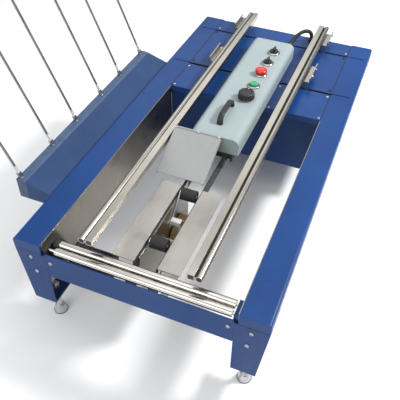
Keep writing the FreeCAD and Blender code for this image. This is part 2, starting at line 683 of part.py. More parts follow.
def console_cable():
    """The short conduit from the console's rear face down into the deck."""
    origin = FreeCAD.Vector(0, -SIZES["frame_length"] / 2, SIZES["table_height"])
    points = [origin + FreeCAD.Vector(*p) for p in CABLE_POINTS]
    path = tangent_path(points)
    circle = Part.Circle(points[0], points[1] - points[0], CABLE_WIDTH / 2)
    tube = path.makePipeShell([Part.Wire(circle.toShape())], True, False)
    ratio = tube.Volume / (math.pi * CABLE_WIDTH ** 2 / 4 * path.Length)
    print("cable length %.0f, volume ratio %.4f" % (path.Length, ratio))
    item = doc.addObject("Part::Feature", "cable_tube")
    item.Shape = tube
    node(item, "console_cable")
    wall = "console_start + console_length"
    hex_rear = doc.addObject("Part::Prism", "gland_rear_hex")
    hex_rear.Polygon = 6
    bind(hex_rear, "Circumradius", "gland_width / 2 + 3.5")
    bind(hex_rear, "Height", "8")
    place(hex_rear, ("52", front(wall), top("28")), ALONG["y"])
    nose = round_bar("gland_rear_nose", "gland_width", "16 + console_wall",
                     ("52", front(wall + " - console_wall"), top("28")), "y")
    hex_deck = doc.addObject("Part::Prism", "gland_deck_hex")
    hex_deck.Polygon = 6
    bind(hex_deck, "Circumradius", "gland_width / 2 + 3.5")
    bind(hex_deck, "Height", "6")
    place(hex_deck, ("gland_side", front("gland_place"), top("0")))
    spout = round_bar("gland_deck_spout", "gland_width", "9 + deck_sheet",
                      ("gland_side", front("gland_place"), top("-deck_sheet")))
    node(group("glands", [fuse("gland_rear", [hex_rear, nose]),
                          fuse("gland_deck", [hex_deck, spout])]), "cable_glands")


# ---------------------------------------------------------------- flap plate

def flap_plate():
    """A sloping plate, hinged at its upper edge to the console's front face."""
    gap = "hinge_barrel / 2 + 0.6"
    sheet_part = block("plate_flat", ("plate_width", "plate_length - 5", "plate_sheet"),
                       (PLATE_LEFT, "-plate_length", "0"))
    flanges = [block("plate_side_%d" % i,
                     ("plate_sheet", "plate_length - 5", "plate_flange"),
                     (x, "-plate_length", "plate_sheet - plate_flange"))
               for i, x in enumerate((PLATE_LEFT, PLATE_LEFT + " + plate_width - plate_sheet"))]
    parts = [sheet_part] + flanges
    third = "(plate_width - 34) / 2"
    for i, start in enumerate((PLATE_LEFT + " + 11", PLATE_LEFT + " + 23 + %s" % third)):
        barrel = round_bar("plate_barrel_%d" % i, "hinge_barrel", third,
                           (start, "0", "0"), "x")
        link = block("plate_link_%d" % i, (third, "6", "plate_sheet"), (start, "-7", "0"))
        parts += [barrel, link]
    bore = round_bar("plate_bore", "hinge_pin + 2 * bore_gap", "plate_width",
                     (PLATE_LEFT, "0", "0"), "x")
    plate = cut("plate_cut", fuse("plate_solid", parts), [bore])
    place(plate, ("0", front("console_start - hinge_gap"), top("console_height + hinge_rise")))
    for prop, text in (("Axis.x", "1"), ("Axis.z", "0"), ("Angle", "plate_slope")):
        bind(plate, "Placement.Rotation." + prop, text)
    node(plate, "flap_plate")

    y = front("console_start - hinge_gap")
    z = top("console_height + hinge_rise")
    pin = round_bar("hinge_pin_bar", "hinge_pin", "plate_width - 2", (PLATE_LEFT + " + 1", y, z), "x")
    leaf = block("hinge_leaf", ("plate_width - 18 - 26", "2.4", "20"),
                 ("-console_width / 2 + 4", front("console_start - 2.4"),
                  top("console_height - 24")))
    lugs = []
    for i, x in enumerate((PLATE_LEFT + " + 4", PLATE_LEFT + " + 17 + %s - 3" % third,
                           PLATE_LEFT + " + plate_width - 10")):
        lugs.append(round_bar("hinge_eye_%d" % i, "hinge_barrel", "6", (x, y, z), "x"))
        lugs.append(block("hinge_lug_%d" % i, ("6", "hinge_gap", "6"),
                          (x, y, top("console_height + hinge_rise - 9"))))
    strip = block("hinge_strip", ("plate_width - 8", "2.4", "6"),
                  (PLATE_LEFT + " + 4", front("console_start - 2.4"),
                   top("console_height + hinge_rise - 9")))
    node(fuse("hinge_solid", [pin, leaf, strip] + lugs), "plate_hinge")


# ---------------------------------------------------------------- rollers

def rollers():
    """Two cross rollers in end blocks; the second one carries the drive pulley."""
    z = top("-roller_drop - roller_width / 2")
    blocks = []
    first = front("roller_first")
    second = front("roller_first + " + ROLLER_PITCH)
    inner = "frame_width / 2 - beam_width - panel_sheet - block_thick"
    for name, y in (("front_roller", first), ("second_roller", second)):
        drum = round_bar(name + "_drum", "roller_width", "2 * roller_reach - drive_gap",
                         ("drive_gap - roller_reach", y, z), "x")
        journal = round_bar(name + "_journal", "journal_width", "2 * (%s) + 20" % inner,
                            ("-(%s) - 10" % inner, y, z), "x")
        parts = [drum, journal]
        if name == "second_roller":
            parts.append(round_bar("roller_pulley", "pulley_width", "pulley_face",
                                   ("1.5 - roller_reach", y, z), "x"))
        node(fuse(name + "_solid", parts), name)
    for i, x in enumerate(("-(%s) - block_thick" % inner, inner)):
        solid = block("bearing_%d" % i, ("block_thick", ROLLER_PITCH + " + 24", "block_height"),
                      (x, front("roller_first - 12"),
                       top("-roller_drop - roller_width / 2 + 7 - block_height")))
        holes = [round_bar("bearing_bore_%d_%d" % (i, k), "journal_width + 2 * bore_gap",
                           "block_thick + 4", (x + " - 2", y, z), "x")
                 for k, y in enumerate((first, second))]
        blocks.append(cut("bearing_block_%d" % i, solid, holes))
    node(group("bearings", blocks), "roller_blocks")


def roller_drive():
    """A gearmotor under the bed that turns the second roller by a belt."""
    y0 = "roller_first + " + ROLLER_PITCH
    z0 = "-roller_drop - roller_width / 2"
    y1 = y0 + " + motor_behind"
    z1 = z0 + " - motor_below"
    x = "1.5 - roller_reach"
    body = round_bar("motor_can", "motor_width", "motor_length - 40",
                     (x + " + pulley_face + 44", front(y1), top(z1)), "x")
    gearbox = block("motor_gearbox", ("42", "motor_width - 4", "motor_width"),
                    (x + " + pulley_face + 3", front(y1 + " - motor_width / 2 + 2"),
                     top(z1 + " - motor_width / 2")))
    node(fuse("motor_solid", [body, gearbox]), "roller_motor")
    wheel = round_bar("motor_wheel", "pulley_width", "pulley_face", (x, front(y1), top(z1)), "x")
    stub = round_bar("motor_stub", "12", "pulley_face + 2.6", (x, front(y1), top(z1)), "x")
    node(fuse("motor_pulley_solid", [wheel, stub]), "motor_pulley")

    def band(name, extra, start, width):
        """A stadium round both pulleys, in the plane of the belt."""
        ends = [round_bar("%s_%d" % (name, i), "pulley_width + 2 * (%s)" % extra, width,
                          (start, front(y), top(z)), "x")
                for i, (y, z) in enumerate(((y0, z0), (y1, z1)))]
        run = doc.addObject("Part::Box", name + "_run")
        reach = "sqrt(motor_behind ^ 2 + motor_below ^ 2)"
        bind(run, "Length", width)
        bind(run, "Width", "pulley_width + 2 * (%s)" % extra)
        bind(run, "Height", reach)
        half = "(pulley_width / 2 + (%s))" % extra
        place(run, (start,
                    front("%s - %s * motor_below / %s" % (y1, half, reach)),
                    top("%s - %s * motor_behind / %s" % (z1, half, reach))))
        for prop, text in (("Axis.x", "1"), ("Axis.z", "0"),
                           ("Angle", "atan(motor_behind / motor_below)")):
            bind(run, "Placement.Rotation." + prop, text)
        return fuse(name, ends + [run])
    outside = band("band_outside", "run_gap + drive_belt", x + " + 0.5", "pulley_face - 1")
    inside = band("band_inside", "run_gap", x + " - 5", "pulley_face + 10")
    node(cut("band_cut", outside, [inside]), "roller_belt")


# ---------------------------------------------------------------- bed and tape head

def bed():
    """Two long plates from the front crossmember to the housing, and the bed strips."""
    beams = [block("centre_beam_%d" % i,
                   ("centre_sheet", "deck_start - sheet - 56", "centre_height"),
                   (x, front("sheet + 56"), top("-centre_drop - centre_height")))
             for i, x in enumerate(("-centre_gap / 2 - centre_sheet", "centre_gap / 2"))]
    feet = [block("centre_foot_%d" % i,
                  ("centre_sheet", "60", "cross_height - centre_drop + 4"),
                  (x, front("sheet"), top("-cross_drop - cross_height + sheet")))
            for i, x in enumerate(("-centre_gap / 2 - centre_sheet", "centre_gap / 2"))]
    pairs = [fuse("centre_pair_%d" % i, [beams[i], feet[i]]) for i in range(2)]
    notch = block("centre_notch",
                  ("centre_gap * 2", "roller_first + %s + roller_width / 2 + 3" % ROLLER_PITCH,
                   "roller_drop + roller_width + 4"),
                  ("-centre_gap", front("sheet - 1"), top("-roller_drop - roller_width - 4")))
    node(group("centre", [cut("centre_%d" % i, pairs[i], [notch]) for i in range(2)]),
         "centre_beams")
    strips = []
    for i, sign in enumerate("-+"):
        inner = "centre_gap / 2 + centre_sheet"
        x = "-(%s) - bed_width" % inner if sign == "-" else inner
        lip_x = "-(%s) - bed_sheet" % inner if sign == "-" else inner
        flat = block("bed_flat_%d" % i, ("bed_width", "bed_end - bed_start", "bed_sheet"),
                     (x, front("bed_start"), top("-bed_drop - bed_sheet")))
        lip = block("bed_lip_%d" % i, ("bed_sheet", "bed_end - bed_start", "24"),
                    (lip_x, front("bed_start"), top("-bed_drop - 24")))
        strips.append(fuse("bed_strip_%d" % i, [flat, lip]))
    node(group("bed", strips), "bed_plates")


def tape_head():
    """The bottom tape head: side plates, roll, two roller arms and the cutter."""
    outer = "centre_gap / 2"
    hinge_a = "head_start + head_length / 2 - arm_apart / 2"
    hinge_b = "head_start + head_length / 2 + arm_apart / 2"
    hinge_z = "-arm_hinge_drop"
    plates = [block("head_plate_%d" % i, ("head_sheet", "head_length", "head_height"),
                    (x, front("head_start"), top("-head_drop - head_height")))
              for i, x in enumerate(("-" + outer, outer + " - head_sheet"))]
    span = "centre_gap - 2 * head_sheet + 2"
    pins = [round_bar("head_pin_%d" % i, "arm_pin", span, ("-(%s) / 2" % span, front(y), top(z)), "x")
            for i, (y, z) in enumerate(((hinge_a, hinge_z), (hinge_b, hinge_z),
                                        ("head_start + 14", "-head_drop - head_height + 14"),
                                        ("head_start + head_length - 14",
                                         "-head_drop - head_height + 14"),
                                        ("head_start + head_length / 2", "-head_drop - 98")))]
    roll_y = "head_start + head_length - 92"
    axle = round_bar("mandrel_axle", "12", "centre_gap - 2 * head_sheet + 2",
                     ("head_sheet - 1 - centre_gap / 2", front(roll_y), top("-tape_drop")), "x")
    node(fuse("head_solid", plates + pins + [axle]), "tape_head_frame")
    inside = "centre_gap / 2 - head_sheet - 1"
    tape = round_bar("tape_disc", "tape_outer", "tape_width",
                     ("-tape_width / 2", front(roll_y), top("-tape_drop")), "x")
    eye = round_bar("tape_eye", "tape_core", "tape_width + 4",
                    ("-tape_width / 2 - 2", front(roll_y), top("-tape_drop")), "x")
    node(cut("tape_cut", tape, [eye]), "tape_roll")
    hub = round_bar("mandrel_hub", "tape_core - 0.4", "tape_width",
                    ("-tape_width / 2", front(roll_y), top("-tape_drop")), "x")
    hub_bore = round_bar("mandrel_bore", "12.2", "tape_width + 4",
                         ("-tape_width / 2 - 2", front(roll_y), top("-tape_drop")), "x")
    node(cut("mandrel_cut", hub, [hub_bore]), "tape_mandrel")

    for name, hinge, direction in (("apply", hinge_a, "-"), ("wipe", hinge_b, "+")):
        wheel_y = "%s %s arm_reach" % (hinge, direction)
        wheel_z = "-bed_drop + wheel_rise - wheel_width / 2"
        x = "-(%s)" % inside
        eye_a = round_bar(name + "_eye", "arm_pin + 12", "arm_plate", (x, front(hinge), top(hinge_z)), "x")
        eye_b = round_bar(name + "_end", "18", "arm_plate", (x, front(wheel_y), top(wheel_z)), "x")
        rise = "(%s - (%s))" % (wheel_z, hinge_z)
        reach = "sqrt(arm_reach ^ 2 + (%s) ^ 2)" % rise
        web = doc.addObject("Part::Box", name + "_web")
        bind(web, "Length", "arm_plate")
        bind(web, "Width", "16")
        bind(web, "Height", reach)
        sign = 1 if direction == "-" else -1
        lean = "atan(arm_reach / %s)" % rise
        place(web, (x,
                    front("%s - 8 * %s / %s" % (hinge, rise, reach)),
                    top("%s %s 8 * arm_reach / %s" % (hinge_z, "-" if sign > 0 else "+", reach))))
        bind(web, "Placement.Rotation.Axis.x", "1")
        bind(web, "Placement.Rotation.Axis.z", "0")
        bind(web, "Placement.Rotation.Angle", lean if sign > 0 else "-(%s)" % lean)
        pin = round_bar(name + "_pin", "8", "2 * (%s) - 2" % inside, (x, front(wheel_y), top(wheel_z)), "x")
        bore = round_bar(name + "_bore", "arm_pin + 2 * bore_gap", "arm_plate * 3",
                         (x + " - arm_plate", front(hinge), top(hinge_z)), "x")
        node(cut(name + "_arm_cut", fuse(name + "_arm_solid", [eye_a, eye_b, web, pin]), [bore]),
             name + "_arm")
        wheel = round_bar(name + "_wheel", "wheel_width", "2 * (%s) - arm_plate - 4" % inside,
                          (x + " + arm_plate + 1", front(wheel_y), top(wheel_z)), "x")
        wheel_bore = round_bar(name + "_wheel_bore", "8 + 2 * bore_gap", "centre_gap",
                               ("-centre_gap / 2", front(wheel_y), top(wheel_z)), "x")
        node(cut(name + "_wheel_cut", wheel, [wheel_bore]), name + "_roller")

    cutter_y = "head_start + head_length / 2"
    stem = block("cutter_stem", ("6", "12", "84"),
                 ("14", front(cutter_y + " - 6"), top("-head_drop - 98")))
    eye = round_bar("cutter_eye", "22", "6", ("14", front(cutter_y), top("-head_drop - 98")), "x")
    guard = block("cutter_guard", ("30", "16", "12"),
                  ("-10", front(cutter_y + " - 8"), top("-head_drop - 14")))
    bore = round_bar("cutter_bore", "arm_pin + 2 * bore_gap", "20",
                     ("8", front(cutter_y), top("-head_drop - 98")), "x")
    node(cut("cutter_cut", fuse("cutter_solid", [stem, eye, guard]), [bore]), "cutter_arm")


# ---------------------------------------------------------------- magazine

def magazine():
    """The folded tray outside the left beam and its six leaning rods."""
    edge = "-frame_width / 2"
    points = [("-tray_reach", "-tray_depth"), ("0", "-tray_depth"), ("0", "-tray_fall"),
              ("tray_rim - tray_reach", "tray_rise"), ("-tray_reach", "tray_rise")]
    body = outline_body("tray_solid", points, "tray_length",
                        (edge, front("tray_start + tray_length"), top("0")), SECTION_XZ)
    inner = [("sheet - tray_reach", "-tray_depth - 5"), ("-sheet", "-tray_depth - 5"),
             ("-sheet", "-tray_fall - sheet * 1.2"),
             ("tray_rim - tray_reach", "tray_rise - sheet * 1.1"),
             ("sheet - tray_reach", "tray_rise - sheet * 1.1")]
    hollow = outline_body("tray_hollow", inner, "tray_length - 2 * sheet",
                          (edge, front("tray_start + tray_length - sheet"), top("0")),
                          SECTION_XZ)
    lean = FreeCAD.Rotation(FreeCAD.Vector(0, 1, 0), -SIZES["rod_lean"])
    rods = []
    nuts = []
    holes = []
    base_x = "-frame_width / 2 - tray_reach + rod_inset"
    for i in range(6):
        wide = (i + 1) // 2
        narrow = i // 2
        y = front("rod_start + %d * rod_wide_pitch + %d * rod_narrow_pitch" % (wide, narrow))
        below = "22"

        def tilted(kind, name, extra, start):
            """A piece on the rod's leaning axis, start millimetres along it."""
            item = doc.addObject(kind, name)
            for prop, text in extra:
                bind(item, prop, text)
            place(item, ("%s - (%s) * sin(rod_lean)" % (base_x, start), y,
                         top("tray_rise + (%s) * cos(rod_lean)" % start)), lean)
            for prop, text in (("Axis.y", "1"), ("Axis.z", "0"), ("Angle", "-rod_lean")):
                bind(item, "Placement.Rotation." + prop, text)
            return item
        rods.append(tilted("Part::Cylinder", "rod_%d" % i,
                           (("Radius", "rod_width / 2"), ("Height", "rod_length + 22")),
                           "-" + below))
        holes.append(tilted("Part::Cylinder", "rod_hole_%d" % i,
                            (("Radius", "rod_width / 2 + 0.2"), ("Height", "50")), "-30"))
        for k, start in enumerate(("3.6", "10.6", "-13")):
            solid = tilted("Part::Prism", "rod_nut_%d_%d" % (i, k),
                           (("Circumradius", "rod_width * 0.95"), ("Height", "6")), start)
            solid.Polygon = 6
            bore = tilted("Part::Cylinder", "rod_nut_bore_%d_%d" % (i, k),
                          (("Radius", "rod_width / 2 + 0.1"), ("Height", "8")),
                          "%s - 1" % start)
            nuts.append(cut("rod_nut_cut_%d_%d" % (i, k), solid, [bore]))
    node(cut("tray_cut", body, [hollow] + holes), "magazine_tray")
    node(group("rods", rods + nuts), "magazine_rods")


# ---------------------------------------------------------------- fasteners

def fasteners():
    """Zinc screw heads on the frame, and small heads on the deck plates."""
    frame = []
    side = "frame_width / 2 - leg_width / 2"
    spots = [(side, "-56"), (side + " - 7", "-112"), ("frame_width / 2 - leg_width - 14", "-58")]
    for i, (x, z) in enumerate(spots):
        for k, sign in enumerate(("-", "")):
            frame.append(round_bar("frame_screw_%d_%d" % (i, k), "screw_head", "screw_rise",
                                   ("%s(%s)" % (sign, x), front("-screw_rise"), top(z)), "y"))
    rear = [mirrored("rear_" + item.Name, item, (0, 1, 0)) for item in frame]
    deck_heads = []
    edge = "frame_width / 2 - beam_width - 10"
    rows = (("deck_start + 12", edge), ("mid_slot - 22", edge), ("mid_slot - 22", "console_width / 2 + 10"),
            ("deck_start + 6", "90"), ("mid_slot + 22", edge), ("rear_slot - 16", edge),
            ("rear_slot + 22", edge), ("frame_length - 22", "166"))
    for i, (y, x) in enumerate(rows):
        for k, sign in enumerate(("-", "")):
            deck_heads.append(round_bar("deck_screw_%d_%d" % (i, k), "screw_head - 2", "2.4",
                                        ("%s(%s)" % (sign, x), front(y), top("0"))))
    node(group("screw_heads_all", frame + rear + deck_heads), "screw_heads")


def check_and_write():
    doc.recompute()
    for item in doc.Objects:
        for word in ("Invalid", "Error"):
            if word in item.State:
                raise SystemExit("%s is %s" % (item.Name, item.State))
    os.makedirs("parts", exist_ok=True)
    for item in NODES:
        shape = item.Shape
        if shape.isNull() or not shape.isValid() or not shape.Solids:
            raise SystemExit("%s has a bad shape" % item.Label)
    for item in NODES:
        item.Shape.exportStep("parts/%s.step" % item.Label)
    print(len(NODES), "nodes written")


side_beams()
legs()
crossmembers()
levelling_feet()
side_panels()
deck()
housing()
guide_rails()
rail_brackets()
carriage("left", -1, "-")
carriage("right", 1, "+")
belt_drive()
console()
controls()
console_handle()
console_cable()
flap_plate()
rollers()
roller_drive()
bed()
tape_head()
magazine()
fasteners()
check_and_write()
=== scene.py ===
"""A semi-automatic carton sealer dressed for its picture: materials, fine detail, light
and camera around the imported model.  Metres, +Z up, origin on the floor under the frame."""
import json
import math
import bmesh
import bpy
from mathutils import Matrix, Vector


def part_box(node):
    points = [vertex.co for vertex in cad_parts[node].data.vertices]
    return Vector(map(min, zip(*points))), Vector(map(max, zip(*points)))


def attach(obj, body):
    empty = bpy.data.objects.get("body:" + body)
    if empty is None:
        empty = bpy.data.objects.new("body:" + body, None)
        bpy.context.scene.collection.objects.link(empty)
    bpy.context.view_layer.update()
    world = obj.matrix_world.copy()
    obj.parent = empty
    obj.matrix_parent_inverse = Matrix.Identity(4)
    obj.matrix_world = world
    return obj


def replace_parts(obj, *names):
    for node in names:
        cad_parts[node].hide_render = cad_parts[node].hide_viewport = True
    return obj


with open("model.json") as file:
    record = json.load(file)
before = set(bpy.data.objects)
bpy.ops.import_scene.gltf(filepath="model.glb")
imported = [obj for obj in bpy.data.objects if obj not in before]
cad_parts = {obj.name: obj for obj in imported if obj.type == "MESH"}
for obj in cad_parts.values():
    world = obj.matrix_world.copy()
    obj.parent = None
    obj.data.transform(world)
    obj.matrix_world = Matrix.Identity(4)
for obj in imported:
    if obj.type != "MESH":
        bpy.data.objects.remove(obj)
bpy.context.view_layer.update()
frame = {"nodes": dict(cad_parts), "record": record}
NODES = frame["nodes"]
MM = 0.001


# ---------------------------------------------------------------- camera

# the view matched to the photograph: where it stands, and which way its right and up point
CAMERA_PLACE = (0.4406, -1.4001, 1.4156)
CAMERA_RIGHT = (0.9272, 0.3740, 0.0183)
CAMERA_UP = (-0.2724, 0.6401, 0.7184)
CAMERA_LENS_MM = 49.74
CAMERA_SENSOR_MM = 36
CAMERA_CLIP_END = 50


def make_camera():
    """The camera stands in front of the right-hand leg, looking down along the frame."""
    right = Vector(CAMERA_RIGHT)
    back = right.cross(Vector(CAMERA_UP)).normalized()
    up = back.cross(right).normalized()
    data = bpy.data.cameras.new("camera")
    data.lens = CAMERA_LENS_MM
    data.sensor_width = CAMERA_SENSOR_MM
    data.clip_end = CAMERA_CLIP_END
    camera = bpy.data.objects.new("camera", data)
    turn = Matrix((right.normalized(), up, back)).transposed().to_4x4()
    camera.matrix_world = Matrix.Translation(CAMERA_PLACE) @ turn
    bpy.context.scene.collection.objects.link(camera)
    bpy.context.scene.camera = camera


make_camera()


# ---------------------------------------------------------------- materials

class Nodes:
    """A small helper for building one material's node tree."""

    def __init__(self, name, color, rough, metal=0.0, **sockets):
        self.material = bpy.data.materials.new(name)
        self.material.use_nodes = True
        self.tree = self.material.node_tree
        self.shader = self.tree.nodes["Principled BSDF"]
        self.set(self.shader, Base_Color=(*color, 1), Roughness=rough, Metallic=metal, **sockets)
        self.place = self.add("ShaderNodeTexCoord").outputs["Object"]
        self.height = None

    def set(self, node, **sockets):
        for key, value in sockets.items():
            node.inputs[key.replace("_", " ")].default_value = value

    def add(self, kind, **settings):
        node = self.tree.nodes.new(kind)
        for key, value in settings.items():
            setattr(node, key, value)
        return node

    def link(self, source, target):
        self.tree.links.new(source, target)

    def noise(self, scale, detail=3.0, rough=0.55, stretch=(1, 1, 1)):
        mapping = self.add("ShaderNodeMapping")
        mapping.inputs["Scale"].default_value = stretch
        self.link(self.place, mapping.inputs["Vector"])
        node = self.add("ShaderNodeTexNoise")
        self.set(node, Scale=scale, Detail=detail, Roughness=rough)
        self.link(mapping.outputs["Vector"], node.inputs["Vector"])
        return node.outputs["Fac"]

    def remap(self, source, low, high, start, end):
        node = self.add("ShaderNodeMapRange")
        self.link(source, node.inputs["Value"])
        for key, value in (("From Min", low), ("From Max", high), ("To Min", start),
                           ("To Max", end)):
            node.inputs[key].default_value = value
        return node.outputs["Result"]

    def mix(self, factor, first, second):
        """Mixes two colours; each is a tuple or another node's output."""
        node = self.add("ShaderNodeMix", data_type="RGBA")
        self.link(factor, node.inputs["Factor"])
        for socket, value in ((node.inputs[6], first), (node.inputs[7], second)):
            if isinstance(value, tuple):
                socket.default_value = (*value, 1)
            else:
                self.link(value, socket)
        return node.outputs[2]

    def edges(self, radius, low=0.02, high=0.25):
        """1 on the solid's edges, 0 on its faces."""
        bevel = self.add("ShaderNodeBevel", samples=4)
        bevel.inputs["Radius"].default_value = radius
        geometry = self.add("ShaderNodeNewGeometry")
        dot = self.add("ShaderNodeVectorMath", operation="DOT_PRODUCT")
        self.link(bevel.outputs["Normal"], dot.inputs[0])
        self.link(geometry.outputs["Normal"], dot.inputs[1])
        return self.remap(dot.outputs["Value"], 1 - low, 1 - high, 0, 1)

    def open_air(self, reach):
        """1 on open faces, down to 0 in grooves and corners narrower than the reach."""
        node = self.add("ShaderNodeAmbientOcclusion", samples=8, only_local=True)
        node.inputs["Distance"].default_value = reach
        return node.outputs["AO"]

    def along(self, axis, start, end):
        """0 at start and 1 at end, measured in metres along one of the part's axes."""
        split = self.add("ShaderNodeSeparateXYZ")
        self.link(self.place, split.inputs["Vector"])
        return self.remap(split.outputs[axis], start, end, 0, 1)

    def bump(self, source, depth, strength=1.0):
        node = self.add("ShaderNodeBump")
        self.set(node, Strength=strength, Distance=depth)
        self.link(source, node.inputs["Height"])
        if self.height is not None:
            self.link(self.height, node.inputs["Normal"])
        self.height = node.outputs["Normal"]
        self.link(self.height, self.shader.inputs["Normal"])

    def soften(self, radius):
        """Rounds sharp edges in the shading."""
        bevel = self.add("ShaderNodeBevel", samples=4)
        bevel.inputs["Radius"].default_value = radius
        self.height = bevel.outputs["Normal"]
        self.link(self.height, self.shader.inputs["Normal"])

    def color(self, source):
        self.link(source, self.shader.inputs["Base Color"])

    def rough(self, source):
        self.link(source, self.shader.inputs["Roughness"])


def mul(color, factor):
    return tuple(min(1.0, c * factor) for c in color)


def painted(name, color, rough=0.38, edge=1.8, grain=1.0, spread=0.14, soft=1.6, gloss=0.25):
    """Powder coat: orange peel, slow colour drift, faint dust, and a painted highlight along the
    edges.
    """
    m = Nodes(name, color, rough, Specular_IOR_Level=gloss)
    m.soften(soft * MM)
    drift = m.noise(5, 4)
    dust = m.noise(60, 5, 0.7)
    base = m.mix(m.remap(drift, 0.3, 0.7, 0, 1), mul(color, 1 - spread), mul(color, 1 + spread))
    base = m.mix(m.remap(dust, 0.55, 0.8, 0, 0.25), base, mul(color, 1.5))
    if edge > 1:
        # painted highlight: edge > 1 lightens the paint along the solid's edges, up to this many
        # times its colour
        edge_highlight = m.edges(2.2 * MM)
        base = m.mix(m.remap(edge_highlight, 0, 1, 0, 0.55), base, mul(color, edge))
    m.color(base)
    m.rough(m.remap(dust, 0.3, 0.75, rough - 0.07, rough + 0.12))
    m.bump(m.noise(900, 2), 0.00012 * grain, 0.5)
    m.bump(m.noise(150, 2), 0.00015 * grain, 0.35)
    return m.material


def brushed(name, color, rough, along="y", strength=1.0, patch=0.25, soft=0.8):
    """Brushed or ground steel: long fine streaks, smudges and slow tint changes."""
    stretch = {"x": (0.02, 1, 1), "y": (1, 0.02, 1), "z": (1, 1, 0.02)}[along]
    m = Nodes(name, color, rough, metal=1.0)
    m.soften(soft * MM)
    streak = m.noise(700, 3, 0.6, stretch)
    smudge = m.noise(14, 1.5, 0.45)
    tint = m.mix(m.remap(smudge, 0.3, 0.72, 0, 1), mul(color, 1 - patch), mul(color, 1.08))
    m.color(m.mix(m.remap(streak, 0.3, 0.7, 0, 0.35), tint, mul(color, 0.72)))
    m.rough(m.remap(smudge, 0.3, 0.7, rough - 0.04, rough + 0.06))
    m.bump(streak, 0.00002 * strength, 0.4)
    return m.material


def galvanised(name, color, rough=0.34):
    """Bright zinc plate: small crystals and a slightly clouded sheen."""
    m = Nodes(name, color, rough, metal=1.0)
    m.soften(0.5 * MM)
    cells = m.add("ShaderNodeTexVoronoi")
    m.set(cells, Scale=220)
    m.link(m.place, cells.inputs["Vector"])
    cloud = m.noise(35, 4)
    tint = m.mix(m.remap(cloud, 0.3, 0.7, 0, 1), mul(color, 0.82), mul(color, 1.06))
    m.color(m.mix(m.remap(cells.outputs["Distance"], 0.1, 0.6, 0, 0.25), tint, mul(color, 0.7)))
    m.rough(m.remap(cloud, 0.3, 0.7, rough - 0.06, rough + 0.14))
    m.bump(m.noise(1200, 2), 0.00004, 0.5)
    return m.material


def moulded(name, color, rough, grain=1.0, **sockets):
    """Moulded plastic or rubber with a fine spark-eroded grain."""
    m = Nodes(name, color, rough, **sockets)
    m.soften(0.7 * MM)
    cloud = m.noise(40, 4)
    m.color(m.mix(m.remap(cloud, 0.3, 0.7, 0, 1), mul(color, 0.85), mul(color, 1.2)))
    m.rough(m.remap(cloud, 0.3, 0.7, rough - 0.06, rough + 0.1))
    m.bump(m.noise(1500, 2), 0.00006 * grain, 0.5)
    return m.material


def tape_film():
    """Wound film: a fine grain and a glossy coat."""
    color = (0.50, 0.34, 0.15)
    m = Nodes("tape_film", color, 0.2, Coat_Weight=0.4)
    grain = m.noise(500, 2, 0.5)
    m.color(m.mix(m.remap(grain, 0.35, 0.65, 0, 1), mul(color, 0.7), mul(color, 1.25)))
    m.bump(grain, 0.00005, 0.5)
    return m.material


BLUE = (0.006, 0.044, 0.176)
# one material for each slot that the record names and this scene draws with
SLOTS = {
    "beam_paint": painted("beam_paint", BLUE, 0.33),
    "leg_paint": painted("leg_paint", mul(BLUE, 0.95), 0.36),
    "housing_paint": painted("housing_paint", mul(BLUE, 0.7), 0.42),
    "stainless": brushed("stainless", (0.48, 0.46, 0.42), 0.28, patch=0.14),
    "polished": brushed("polished", (0.66, 0.63, 0.58), 0.16, strength=0.6, patch=0.14),
    "zinc": galvanised("zinc", (0.66, 0.67, 0.66)),
    "console_paint": painted("console_paint", (0.305, 0.365, 0.370), 0.42, edge=1.25, grain=1.4,
                             spread=0.05, soft=1.0),
    "plate_paint": painted("plate_paint", (0.31, 0.32, 0.315), 0.45, edge=1.25, grain=1.2,
                           spread=0.05, soft=0.8),
    "dark_steel": painted("dark_steel", (0.022, 0.022, 0.024), 0.48, edge=2.0, grain=1.0,
                          spread=0.2, soft=0.8),
    "black_plastic": moulded("black_plastic", (0.016, 0.016, 0.017), 0.42),
    "red_plastic": moulded("red_plastic", (0.62, 0.012, 0.010), 0.22, 0.3, Coat_Weight=0.4),
    "green_plastic": moulded("green_plastic", (0.010, 0.30, 0.10), 0.24, 0.3, Coat_Weight=0.4),
    "grey_plastic": moulded("grey_plastic", (0.20, 0.21, 0.21), 0.5),
    "rubber": moulded("rubber", (0.012, 0.012, 0.012), 0.62, 2.0),
    "aluminium": brushed("aluminium", (0.60, 0.61, 0.62), 0.34, "x"),
    "tape": tape_film(),
    "cardboard": moulded("cardboard", (0.38, 0.27, 0.16), 0.85, 3.0),
    "white_mark": moulded("white_mark", (0.75, 0.75, 0.72), 0.5),
}


def rail_steel():
    """Polished tube and bar, with painted shade darkening the groove between them."""
    color = (0.50, 0.475, 0.42)
    m = Nodes("rail_steel", color, 0.24, metal=1.0)
    m.soften(0.6 * MM)
    streak = m.noise(500, 3, 0.6, (1, 0.02, 1))
    cloud = m.noise(9, 3)
    tint = m.mix(m.remap(cloud, 0.3, 0.7, 0, 1), mul(color, 0.88), mul(color, 1.08))
    tint = m.mix(m.remap(streak, 0.35, 0.7, 0, 0.3), tint, mul(color, 0.7))
    # painted shade: ambient occlusion darkens the groove between tube and bar almost to black
    clear_of_groove_shade = m.remap(m.open_air(9 * MM), 0.45, 0.8, 0, 1)
    m.color(m.mix(clear_of_groove_shade, (0.035, 0.032, 0.028), tint))
    m.rough(m.remap(clear_of_groove_shade, 0, 1, 0.6, 0.24))
    m.bump(streak, 0.00001, 0.4)
    return m.material


